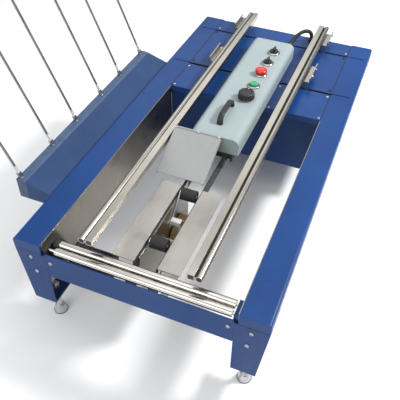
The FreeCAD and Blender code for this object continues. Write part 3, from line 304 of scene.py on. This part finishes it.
def tray_blue():
    """The tray's greyer blue, with a painted highlight making it paler along the rim that the
    rods stand on.
    """
    color = (0.020, 0.050, 0.135)
    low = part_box("magazine_tray")[0]
    m = Nodes("tray_blue", color, 0.5, Specular_IOR_Level=0.25)
    m.soften(1.6 * MM)
    dust = m.noise(60, 5, 0.7)
    floor = m.mix(m.remap(m.noise(7, 4), 0.3, 0.7, 0, 1), mul(color, 0.85), mul(color, 1.2))
    # painted highlight: the rim gets a paler, greyer blue than the tray's floor
    rim = m.mix(m.remap(dust, 0.35, 0.7, 0, 1), (0.052, 0.088, 0.165), (0.085, 0.125, 0.205))
    rim_starts, rim_full = 31 * MM, 29 * MM
    m.color(m.mix(m.along("X", low.x + rim_starts, low.x + rim_full), floor, rim))
    m.rough(m.remap(dust, 0.3, 0.75, 0.42, 0.62))
    m.bump(m.noise(900, 2), 0.00012, 0.5)
    return m.material


def block_paint():
    """The rollers' end blocks: black on the drive side at the left, blue at the right."""
    m = Nodes("block_paint", BLUE, 0.42, Specular_IOR_Level=0.25)
    m.soften(0.8 * MM)
    grain = m.noise(60, 4, 0.7)
    black = m.mix(grain, (0.012, 0.012, 0.013), (0.026, 0.026, 0.028))
    blue = m.mix(grain, mul(BLUE, 0.85), mul(BLUE, 1.2))
    m.color(m.mix(m.along("X", -0.01, 0.01), black, blue))
    m.rough(m.remap(grain, 0.3, 0.7, 0.36, 0.52))
    m.bump(m.noise(900, 2), 0.0001, 0.5)
    return m.material


RAIL = rail_steel()
# painted reflection: the side panels' steel is darker and browner than the other steel, standing
# in for the carton it reflects
PANEL = brushed("panel_steel", (0.33, 0.30, 0.26), 0.30, strength=0.8, patch=0.06)
RODS = brushed("rod_steel", (0.36, 0.38, 0.39), 0.30, "z", strength=0.5, patch=0.10)
# the nodes that look different from the rest of their slot
FINISHES = {"guide_rail_left": RAIL, "guide_rail_right": RAIL, "side_panel_left": PANEL,
            "side_panel_right": PANEL, "roller_blocks": block_paint(),
            "magazine_tray": tray_blue(), "magazine_rods": RODS}


def dress_nodes():
    """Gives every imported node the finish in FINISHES, or else the one of its slot."""
    slot_of = {s["node"]: s["material_slot"] for s in frame["record"]["subparts"]}
    for name, obj in NODES.items():
        obj.data.materials.clear()
        obj.data.materials.append(FINISHES.get(name) or SLOTS[slot_of[name]])


# ---------------------------------------------------------------- light and floor

SKY_STRENGTH = 0.76
HORIZON_COLOR = (0.27, 0.28, 0.30, 1)
ZENITH_COLOR = (0.96, 0.98, 1, 1)
HORIZON_AT, ZENITH_AT = 0.12, 0.75      # the direction's Z where each colour is reached
BACKDROP_COLOR = (0.75, 0.755, 0.76, 1)
FLOOR_SIZE = 24
FLOOR_COLOR = (0.93, 0.93, 0.93)
# each area light: its name, its two sides in metres, watts, where it stands, what it faces
AREAS = [
    ("key", (0.55, 0.55), 88, (1.9, 0.85, 2.4), (0, 0.1, 0.35)),
    ("fill", (2.5, 1.5), 34, (-0.9, -3.0, 1.7), (0, -0.4, 0.2)),
    ("top", (2.0, 2.5), 18, (0, 0.2, 3.2), (0, 0, 0)),
    ("rear", (2.6, 1.6), 12, (-1.1, 2.9, 2.5), (0, 0.1, 0.35)),
]


def area(name, size, power, place, aim):
    data = bpy.data.lights.new(name, "AREA")
    data.shape = "RECTANGLE"
    data.size, data.size_y = size
    data.energy = power
    light = bpy.data.objects.new(name, data)
    light.location = place
    light.rotation_euler = (Vector(aim) - Vector(place)).to_track_quat("-Z", "Y").to_euler()
    bpy.context.scene.collection.objects.link(light)


def make_world():
    """A white sky that darkens towards the horizon, so that metal shows its form.  The
    camera itself sees a plain pale backdrop."""
    world = bpy.data.worlds.new("studio")
    bpy.context.scene.world = world
    world.use_nodes = True
    tree = world.node_tree
    sky = tree.nodes["Background"]
    sky.inputs["Strength"].default_value = SKY_STRENGTH
    place = tree.nodes.new("ShaderNodeTexCoord")
    split = tree.nodes.new("ShaderNodeSeparateXYZ")
    tree.links.new(place.outputs["Generated"], split.inputs["Vector"])
    ramp = tree.nodes.new("ShaderNodeValToRGB")
    low, high = ramp.color_ramp.elements
    low.position, low.color = HORIZON_AT, HORIZON_COLOR
    high.position, high.color = ZENITH_AT, ZENITH_COLOR
    tree.links.new(split.outputs["Z"], ramp.inputs["Fac"])
    tree.links.new(ramp.outputs["Color"], sky.inputs["Color"])
    plain = tree.nodes.new("ShaderNodeBackground")
    plain.inputs["Color"].default_value = BACKDROP_COLOR
    seen = tree.nodes.new("ShaderNodeLightPath")
    mix = tree.nodes.new("ShaderNodeMixShader")
    tree.links.new(seen.outputs["Is Camera Ray"], mix.inputs["Fac"])
    tree.links.new(sky.outputs["Background"], mix.inputs[1])
    tree.links.new(plain.outputs["Background"], mix.inputs[2])
    tree.links.new(mix.outputs["Shader"], tree.nodes["World Output"].inputs["Surface"])


def make_studio():
    """A small key light from the right rear and three soft ones, over a white floor."""
    bpy.context.scene.view_settings.view_transform = "Standard"
    make_world()
    for light in AREAS:
        area(*light)
    bpy.ops.mesh.primitive_plane_add(size=FLOOR_SIZE, location=(0, 0, 0))
    floor = bpy.context.object
    floor.name = "floor"
    paper = Nodes("floor_paper", FLOOR_COLOR, 0.75)
    paper.rough(paper.remap(paper.noise(3, 3), 0.3, 0.7, 0.7, 0.85))
    floor.data.materials.append(paper.material)


# ---------------------------------------------------------------- mesh tools

def axes_for(direction):
    """Two directions square to this one and to each other."""
    w = Vector(direction).normalized()
    u = Vector((0, 0, 1)).cross(w) if abs(w.z) < 0.9 else Vector((1, 0, 0))
    u = (u - w * u.dot(w)).normalized()
    return u, w.cross(u), w


def stack(mesh, rings, base, direction, count=32, closed=False):
    """Skins rings of points.  A ring is (radius, height); the radius may be a function of
    the angle.  A ring of radius 0 closes an end, and closed joins the last to the first."""
    u, v, w = axes_for(direction)
    base = Vector(base)
    rows = []
    for radius, height in rings:
        centre = base + w * height
        if radius == 0:
            rows.append([mesh.verts.new(centre)])
            continue
        row = []
        for i in range(count):
            a = 2 * math.pi * i / count
            r = radius(a) if callable(radius) else radius
            row.append(mesh.verts.new(centre + (u * math.cos(a) + v * math.sin(a)) * r))
        rows.append(row)
    pairs = list(zip(rows, rows[1:]))
    if closed:
        pairs.append((rows[-1], rows[0]))
    for low, high in pairs:
        for i in range(count):
            j = (i + 1) % count
            if len(low) == 1:
                mesh.faces.new((low[0], high[j], high[i]))
            elif len(high) == 1:
                mesh.faces.new((low[i], low[j], high[0]))
            else:
                mesh.faces.new((low[i], low[j], high[j], high[i]))


def slab(mesh, low, high, turn=None):
    """A plain box between two corners, turned about its centre."""
    made = bmesh.ops.create_cube(mesh, size=1)["verts"]
    low, high = Vector(low), Vector(high)
    scale = Matrix.Diagonal((*(high - low), 1))
    move = Matrix.Translation((low + high) / 2)
    bmesh.ops.transform(mesh, matrix=move @ (turn or Matrix()) @ scale, verts=made)


def piece(name, mesh, material, body, smooth=40, round_by=0.0):
    """Finishes a bmesh as an object that rides on a body."""
    bmesh.ops.recalc_face_normals(mesh, faces=mesh.faces)
    data = bpy.data.meshes.new(name)
    mesh.to_mesh(data)
    mesh.free()
    obj = bpy.data.objects.new(name, data)
    bpy.context.scene.collection.objects.link(obj)
    data.materials.append(SLOTS[material])
    if round_by:
        bevel = obj.modifiers.new("bevel", "BEVEL")
        bevel.width = round_by
        bevel.segments = 2
        bevel.limit_method = "ANGLE"
    data.shade_smooth()
    data.set_sharp_from_angle(angle=math.radians(smooth))
    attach(obj, body)
    return obj


WELD = 1e-6     # vertices closer than this are one


def islands(node):
    """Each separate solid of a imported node, as its lowest and highest corner, in an order
    that is the same each run."""
    mesh = bmesh.new()
    mesh.from_mesh(NODES[node].data)
    bmesh.ops.remove_doubles(mesh, verts=mesh.verts, dist=WELD)
    left = set(mesh.verts)
    found = []
    while left:
        front = [left.pop()]
        group = []
        while front:
            vert = front.pop()
            group.append(vert.co.copy())
            for edge in vert.link_edges:
                other = edge.other_vert(vert)
                if other in left:
                    left.discard(other)
                    front.append(other)
        low = Vector(min(p[i] for p in group) for i in range(3))
        high = Vector(max(p[i] for p in group) for i in range(3))
        found.append((low, high))
    mesh.free()
    return sorted(found, key=lambda box: (*box[0], *box[1]))


def hexagon(across):
    """The radius of a hexagon with this width across its flats, at any angle."""
    return lambda a: across / 2 / math.cos((a % (math.pi / 3)) - math.pi / 6)


def sweep(mesh, points, section):
    """Skins a section along a path and caps both ends; section(i) gives the offsets at the
    i-th point."""
    up = Vector((1, 0, 0))
    rows = []
    for i, point in enumerate(points):
        ahead = (points[min(i + 1, len(points) - 1)] - points[max(i - 1, 0)]).normalized()
        side = (up - ahead * up.dot(ahead)).normalized()
        up = side
        other = ahead.cross(side)
        rows.append([mesh.verts.new(point + side * a + other * b) for a, b in section(i)])
    count = len(rows[0])
    for low, high in zip(rows, rows[1:]):
        for i in range(count):
            j = (i + 1) % count
            mesh.faces.new((low[i], low[j], high[j], high[i]))
    mesh.faces.new(rows[0])
    mesh.faces.new(rows[-1])


def nurbs_line(name, points, steps):
    """The points of a smooth NURBS line through a given route."""
    curve = bpy.data.curves.new(name, "CURVE")
    curve.dimensions = "3D"
    curve.resolution_u = steps
    spline = curve.splines.new("NURBS")
    spline.points.add(len(points) - 1)
    for point, place in zip(spline.points, points):
        point.co = (*place, 1)
    spline.order_u = 3
    spline.use_endpoint_u = True
    holder = bpy.data.objects.new(name, curve)
    line = bpy.data.meshes.new_from_object(holder)
    found = [v.co.copy() for v in line.vertices]
    bpy.data.objects.remove(holder)
    bpy.data.meshes.remove(line)
    return found


# ---------------------------------------------------------------- the conduit

FRONT_Y = -0.685
BEAM_TOP = 0.345
# part.py's points, in millimetres from the frame's front face and its beams' top
ROUTE = [(52, 1211, 28), (54, 1242, 31), (63, 1270, 43), (80, 1295, 54),
         (99, 1317, 51), (111, 1333, 34), (112, 1338, 9)]
CONDUIT = 14 * MM
CONDUIT_STEPS, CONDUIT_SIDES = 60, 20


def make_conduit():
    """A ribbed conduit, from the console's rear face down into the deck."""
    route = [(x * MM, y * MM + FRONT_Y, z * MM + BEAM_TOP) for x, y, z in ROUTE]
    line = nurbs_line("conduit_line", route, CONDUIT_STEPS)
    along = [0.0]
    for a, b in zip(line, line[1:]):
        along.append(along[-1] + (b - a).length)
    crest, depth, pitch = CONDUIT / 2 + 0.3 * MM, 0.5 * MM, 3.2 * MM
    mesh = bmesh.new()

    def ring(i):
        r = crest - depth * (1 - math.cos(2 * math.pi * along[i] / pitch))
        return [(r * math.cos(a), r * math.sin(a))
                for a in (2 * math.pi * k / CONDUIT_SIDES for k in range(CONDUIT_SIDES))]
    sweep(mesh, line, ring)
    hose = piece("conduit", mesh, "black_plastic", "frame")
    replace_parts(hose, "console_cable")


# ---------------------------------------------------------------- fasteners

SCREW_MAX = 0.015           # the largest solid in a bracket's node that is a screw head
STEM_MIN = 0.06             # the smallest solid in the feet's node that has a stem and a pad
STEM_RADIUS, STEM_FOOT = 0.008, 0.024
THREAD_ROOT, THREAD_CREST = 0.05 * MM, 0.45 * MM


def add_screw(mesh, centre, outward, radius, height):
    """A button head with a hexagon socket."""
    socket = hexagon(radius * 1.05)
    stack(mesh, [(0, 0), (radius, 0), (radius, height * 0.35), (radius * 0.93, height * 0.68),
                 (radius * 0.74, height * 0.93), (radius * 0.62, height), (socket, height * 0.98),
                 (socket, height * 0.3), (0, height * 0.3)], centre, outward, 24)


def screw_side(low, high):
    """A head's outward axis: the thin one, pointing away from the frame's middle."""
    size = high - low
    axis = min(range(3), key=lambda i: size[i])
    middle = (low + high) / 2
    outward = Vector((0, 0, 0))
    outward[axis] = 1 if axis == 2 or middle[axis] > 0 else -1
    base = middle.copy()
    base[axis] = low[axis] if outward[axis] > 0 else high[axis]
    return base, outward, size[(axis + 1) % 3] / 2, size[axis]


def make_screws():
    """Zinc heads on the frame, and blackened ones at the cover plate's corners."""
    bright, dark = bmesh.new(), bmesh.new()
    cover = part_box("deck_cover_plate")
    for low, high in islands("screw_heads"):
        base, outward, radius, height = screw_side(low, high)
        on_cover = outward.z > 0 and cover[0].y < base.y < cover[1].y
        add_screw(dark if on_cover else bright, base, outward, radius, height)
    heads = piece("screws_zinc", bright, "zinc", "frame")
    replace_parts(heads, "screw_heads")
    piece("screws_black", dark, "dark_steel", "frame")
    for side in ("left", "right"):
        mesh = bmesh.new()
        for low, high in islands("rail_brackets_" + side):
            if max(high - low) < SCREW_MAX:
                base, outward, radius, height = screw_side(low, high)
                add_screw(mesh, base, outward, radius * 1.12, height * 1.15)
        piece("bracket_screws_" + side, mesh, "zinc", side + "_guide")


def thread(mesh, base, direction, radius, length, pitch):
    """Thread crests round a stem, a little proud of it."""
    rings = []
    turns = int(length / pitch)
    for i in range(turns):
        rings += [(radius + THREAD_ROOT, i * pitch), (radius + THREAD_CREST, (i + 0.5) * pitch)]
    rings.append((radius + THREAD_ROOT, turns * pitch))
    stack(mesh, rings, base, direction, 20)


def make_feet():
    """Threads on the four stems, collars at their feet, and the rubber round the pads."""
    threads, rubber, collars = bmesh.new(), bmesh.new(), bmesh.new()
    for low, high in islands("levelling_feet"):
        if high.z - low.z < STEM_MIN:
            continue
        x, y = (low.x + high.x) / 2, (low.y + high.y) / 2
        pad = (high.x - low.x) / 2
        thread(threads, (x, y, STEM_FOOT), (0, 0, 1), STEM_RADIUS, high.z - 0.025, 2 * MM)
        stack(rubber, [(pad * 0.6, 0.0), (pad + 0.1 * MM, 0.0), (pad + 0.2 * MM, 1 * MM),
                       (pad + 0.1 * MM, 2 * MM), (pad * 0.9, 2 * MM)], (x, y, 0.0003), (0, 0, 1))
        stack(collars, [(0.0083, 0), (0.0125, 0), (0.0118, 4 * MM), (0.0083, 6 * MM)],
              (x, y, STEM_FOOT), (0, 0, 1), 28)
    piece("foot_threads", threads, "zinc", "frame")
    piece("foot_rubber", rubber, "rubber", "frame")
    piece("foot_collars", collars, "zinc", "frame")


# ---------------------------------------------------------------- controls

BEZEL_RISE = 6.3 * MM       # the knobs stand this high on the console's top
FULL_ROUND = 192            # steps round the pieces that are ribbed or knurled


def base_of(node, above):
    """The middle of a control, at a height above the console's top."""
    low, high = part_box(node)
    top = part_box("console_shell")[1].z
    return Vector(((low.x + high.x) / 2, (low.y + high.y) / 2, top + above))


def make_bezels():
    """Knurled rings with a hollow middle."""
    mesh = bmesh.new()
    for low, high in islands("button_bezels"):
        centre = (low + high) / 2
        centre.z = low.z
        r = (high.x - low.x) / 2
        knurl = lambda a, r=r: r - 0.25 * MM * (1 + math.cos(a * 48))
        stack(mesh, [(17.6 * MM, 0), (r - 0.4 * MM, 0), (knurl, 0.4 * MM), (knurl, 3.4 * MM),
                     (r - 1.2 * MM, 4.6 * MM), (r - 2.8 * MM, 5.9 * MM), (19.0 * MM, 6.0 * MM),
                     (18.0 * MM, 5.3 * MM)], centre, (0, 0, 1), FULL_ROUND, closed=True)
    ring = piece("bezel_rings", mesh, "polished", "frame")
    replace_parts(ring, "button_bezels")


def make_knob():
    """A ribbed knob on a skirt, with a sunk top and a pale pointer line."""
    centre = base_of("ribbed_knob", BEZEL_RISE)
    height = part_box("ribbed_knob")[1].z - centre.z
    r = 27.6 * MM

    def rib(scale):
        return lambda a: r * scale - 1.3 * MM * (1 + math.cos(16 * a)) ** 2 / 4
    mesh = bmesh.new()
    stack(mesh, [(4 * MM, -10 * MM), (4 * MM, 0), (r, 0), (r, 2 * MM), (rib(0.985), 3.2 * MM),
                 (rib(0.95), height - 3 * MM), (rib(0.92), height - 1.2 * MM),
                 (r * 0.80, height), (r * 0.62, height), (r * 0.58, height - 1.6 * MM),
                 (0, height - 1.6 * MM)], centre, (0, 0, 1), FULL_ROUND)
    knob = piece("speed_knob", mesh, "black_plastic", "knob", smooth=50)
    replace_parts(knob, "ribbed_knob")
    line = bmesh.new()
    slab(line, centre + Vector((-0.8 * MM, r * 0.62, height - 0.3 * MM)),
         centre + Vector((0.8 * MM, r * 0.80, height + 0.25 * MM)))
    piece("speed_knob_line", line, "white_mark", "knob")


def make_selectors():
    """Dials with a raised, waisted grip and a pale index line."""
    for name, body in (("selector_knob_front", "selector_front"),
                       ("selector_knob_rear", "selector_rear")):
        centre = base_of(name, BEZEL_RISE)
        low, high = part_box(name)
        tall = high.z - centre.z
        half = (high.y - low.y) / 2
        mesh = bmesh.new()
        r = 15.3 * MM
        stack(mesh, [(11 * MM, -9 * MM), (11 * MM, 0), (r, 0), (r, 3.4 * MM),
                     (r - 1.2 * MM, 4.9 * MM), (0, 5 * MM)], centre, (0, 0, 1), 40)

        def blade(width, length):
            def radius(a):
                x, y = abs(math.cos(a)) / width, abs(math.sin(a)) / length
                return (x ** 3 + y ** 3) ** (-1 / 3)
            return radius
        stack(mesh, [(0, 3 * MM), (blade(4.6 * MM, half), 3 * MM),
                     (blade(4.3 * MM, half), tall - 3 * MM),
                     (blade(3.7 * MM, half - 1.0 * MM), tall - 1 * MM),
                     (blade(2.6 * MM, half - 2.4 * MM), tall), (0, tall)],
              centre, (0, 0, 1), 48)
        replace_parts(piece(name + "_grip", mesh, "black_plastic", body), name)
        line = bmesh.new()
        slab(line, centre + Vector((-0.6 * MM, 1 * MM, tall - 0.8 * MM)),
             centre + Vector((0.6 * MM, half - 3 * MM, tall + 0.2 * MM)))
        piece(name + "_line", line, "white_mark", body)


def make_buttons():
    """A green button with a dished face, and a red mushroom head."""
    low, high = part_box("start_button")
    centre = base_of("start_button", 5 * MM)
    r, tall = (high.x - low.x) / 2, high.z - centre.z
    mesh = bmesh.new()
    stack(mesh, [(r - 0.5 * MM, -12 * MM), (r - 0.5 * MM, 0), (r, 0.2 * MM),
                 (r, tall - 2.2 * MM), (r - 0.6 * MM, tall - 0.9 * MM),
                 (r - 2.0 * MM, tall - 0.1 * MM), (r - 3.2 * MM, tall - 0.5 * MM),
                 (r * 0.4, tall - 1.0 * MM), (0, tall - 1.1 * MM)], centre, (0, 0, 1), 48)
    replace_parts(piece("green_cap", mesh, "green_plastic", "start"), "start_button")
    low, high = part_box("stop_button")
    centre = base_of("stop_button", 11 * MM)
    r, tall = (high.x - low.x) / 2, high.z - centre.z
    mesh = bmesh.new()
    stack(mesh, [(14.5 * MM, -13 * MM), (14.5 * MM, 0), (r - 2.5 * MM, 0),
                 (r - 0.6 * MM, 1.2 * MM), (r, 3.5 * MM), (r - 0.3 * MM, 6 * MM),
                 (r - 2.2 * MM, tall - 3 * MM),
                 (r * 0.72, tall - 1.1 * MM), (r * 0.42, tall - 0.2 * MM), (0, tall)],
          centre, (0, 0, 1), 48)
    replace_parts(piece("red_cap", mesh, "red_plastic", "stop"), "stop_button")


def make_ticks():
    """Plain tick marks round the selectors and the speed knob."""
    mesh = bmesh.new()
    half = Vector((0.5, 2, 0.1)) * MM
    marks = [(name, (-45, 0, 45), 26.5) for name in ("selector_knob_front", "selector_knob_rear")]
    marks.append(("ribbed_knob", range(-150, 151, 30), 31.5))
    for name, angles, radius in marks:
        centre = base_of(name, 0.05 * MM)
        for angle in angles:
            a = math.radians(angle)
            spot = centre + Vector((math.sin(a), math.cos(a), 0)) * radius * MM
            turn = Matrix.Rotation(-a, 4, "Z")
            slab(mesh, spot - half, spot + half, turn)
    piece("tick_marks", mesh, "dark_steel", "frame")


def make_handle():
    """A bow handle, thicker and wider towards its feet."""
    low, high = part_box("console_handle")
    x = (low.x + high.x) / 2
    middle = (low.y + high.y) / 2
    reach = (high.y - low.y) / 2 - 8 * MM
    tall = high.z - low.z - 6 * MM
    side = [(reach + 2 * MM, 0.0), (reach + 2 * MM, tall * 0.3), (reach - 1 * MM, tall * 0.68),
            (reach - 15 * MM, tall * 1.02), (reach - 28 * MM, tall)]
    route = [(x, middle - y, low.z + z) for y, z in side]
    route += [(x, middle + y, low.z + z) for y, z in reversed(side)]
    line = nurbs_line("handle_line", route, 10)
    half_width = (high.x - low.x) / 2

    def section(i):
        share = abs(2 * i / (len(line) - 1) - 1)
        wide = half_width * (0.86 + 0.14 * share ** 3)
        thick = (5.4 + 2.6 * share ** 6) * MM
        points = []
        for k in range(20):
            a = 2 * math.pi * k / 20
            c, s = math.cos(a), math.sin(a)
            points.append((wide * math.copysign(abs(c) ** 0.6, c),
                           thick * math.copysign(abs(s) ** 0.6, s)))
        return points
    mesh = bmesh.new()
    sweep(mesh, line, section)
    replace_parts(piece("bow_handle", mesh, "black_plastic", "frame"), "console_handle")


# ---------------------------------------------------------------- frame details

def make_rail_plugs():
    """Black plugs just inside the ends of the rails: round in the tube, square in the bar."""
    for side, sign in (("left", -1), ("right", 1)):
        low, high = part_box("guide_rail_" + side)
        tall = high.z - low.z
        z = (low.z + high.z) / 2
        outer = low.x if sign < 0 else high.x
        inner = high.x if sign < 0 else low.x
        mesh = bmesh.new()
        bore = tall / 2 - 2.05 * MM
        deep = 8 * MM
        for y, way in ((low.y + 0.6 * MM, 1), (high.y - 0.6 * MM, -1)):
            stack(mesh, [(0, 0.8 * MM), (bore * 0.55, 0.8 * MM), (bore * 0.62, 0), (bore, 0),
                         (bore, deep), (0, deep)],
                  (outer - sign * tall / 2, y, z), (0, way, 0), 28)
            x = inner + sign * tall / 2
            slab(mesh, (x - bore, min(y, y + way * deep), z - bore),
                 (x + bore, max(y, y + way * deep), z + bore))
        piece("rail_plugs_" + side, mesh, "black_plastic", side + "_guide")


def make_seams():
    """Dark gaskets where the beams meet the legs."""
    mesh = bmesh.new()
    for name in ("leg_front_left", "leg_front_right", "leg_rear_left", "leg_rear_right"):
        low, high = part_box(name)
        front = -1 if low.y < 0 else 1
        side = -1 if low.x < 0 else 1
        z = high.z
        face = low.y if front < 0 else high.y
        edge = low.x if side < 0 else high.x
        ys = sorted((face + front * 0.25 * MM, face - front * 2 * MM))
        slab(mesh, (low.x + 1 * MM, ys[0], z - 0.9 * MM), (high.x - 1 * MM, ys[1], z + 0.9 * MM))
        xs = sorted((edge + side * 0.25 * MM, edge - side * 2 * MM))
        slab(mesh, (xs[0], low.y + 1 * MM, z - 0.9 * MM), (xs[1], high.y - 1 * MM, z + 0.9 * MM))
    piece("leg_seams", mesh, "rubber", "frame")


def make_deck_shade_strips():
    """Black strips that close the gaps between the deck's plates and the side beams, as painted
    shade where those gaps are dark.
    """
    # painted shade: black rubber strips stand in for the shade in the deck's gaps
    mesh = bmesh.new()
    for name in ("deck_front_plate", "deck_cover_plate", "deck_rear_plate"):
        low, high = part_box(name)
        for x, way in ((low.x, -1), (high.x, 1)):
            xs = sorted((x + way * 1.4 * MM, x - way * 1.6 * MM))
            slab(mesh, (xs[0], low.y + 2 * MM, high.z - 2 * MM),
                 (xs[1], high.y - 2 * MM, high.z + 0.35 * MM))
    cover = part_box("deck_cover_plate")
    for y, way in ((cover[0].y, -1), (cover[1].y, 1)):
        ys = sorted((y + way * 4 * MM, y - way * 0.5 * MM))
        slab(mesh, (cover[0].x, ys[0], cover[1].z - 2.4 * MM),
             (cover[1].x, ys[1], cover[1].z + 0.35 * MM))
    piece("deck_shade_strips", mesh, "rubber", "frame", round_by=0.0002)


def make_motor_fins():
    """Cooling fins round the gearmotor's body."""
    low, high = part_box("roller_motor")
    y, z = (low.y + high.y) / 2, (low.z + high.z) / 2
    r = (high.z - low.z) / 2
    mesh = bmesh.new()
    start = low.x + 46 * MM
    inside, outside, thick = r * 0.9, r + 1.4 * MM, 1.6 * MM
    for i in range(16):
        x = start + i * 4.2 * MM
        stack(mesh, [(inside, 0), (outside, 0), (outside, thick), (inside, thick)],
              (x, y, z), (1, 0, 0), 48, closed=True)
    piece("motor_fins", mesh, "dark_steel", "frame")


def make_louvres():
    """Seven tilted louvres on the housing's rear wall."""
    low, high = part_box("drive_housing")
    mesh = bmesh.new()
    turn = Matrix.Rotation(math.radians(-28), 4, "X")
    for i in range(7):
        z = low.z + 28 * MM + i * 9 * MM
        slab(mesh, (-0.16, high.y - 1 * MM, z), (-0.06, high.y + 2.4 * MM, z + 5 * MM), turn)
    piece("housing_louvres", mesh, "housing_paint", "frame", round_by=0.0006)


def make_tape_core():
    """The board core at both faces of the tape roll."""
    low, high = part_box("tape_roll")
    y, z = (low.y + high.y) / 2, (low.z + high.z) / 2
    mesh = bmesh.new()
    bore, wall, sunk, proud = 38.1 * MM, 42 * MM, -2 * MM, 0.3 * MM
    for x, way in ((low.x, -1), (high.x, 1)):
        stack(mesh, [(bore, sunk), (wall, sunk), (wall, proud), (bore, proud)],
              (x, y, z), (way, 0, 0), 64, closed=True)
    piece("tape_core", mesh, "cardboard", "tape_spool")


ROD_MIN = 0.2               # the shortest solid in the rods' node that is a rod, not a nut
ROD_RADIUS = 0.004


def make_rod_threads():
    """Threads on the rods' feet, above and below the tray's rim."""
    mesh = bmesh.new()
    for low, high in islands("magazine_rods"):
        if high.z - low.z < ROD_MIN:
            continue
        lean = math.atan2(high.x - low.x - 2 * ROD_RADIUS, high.z - low.z)
        way = Vector((-math.sin(lean), 0, math.cos(lean)))
        foot = Vector((high.x - ROD_RADIUS * math.cos(lean), (low.y + high.y) / 2,
                       low.z + ROD_RADIUS * math.sin(lean)))
        thread(mesh, foot, way, ROD_RADIUS, 0.062, 1.25 * MM)
    piece("rod_threads", mesh, "zinc", "frame")


dress_nodes()
make_conduit()
make_screws()
make_feet()
make_bezels()
make_knob()
make_selectors()
make_buttons()
make_ticks()
make_handle()
make_rail_plugs()
make_seams()
make_deck_shade_strips()
make_motor_fins()
make_louvres()
make_tape_core()
make_rod_threads()
make_studio()
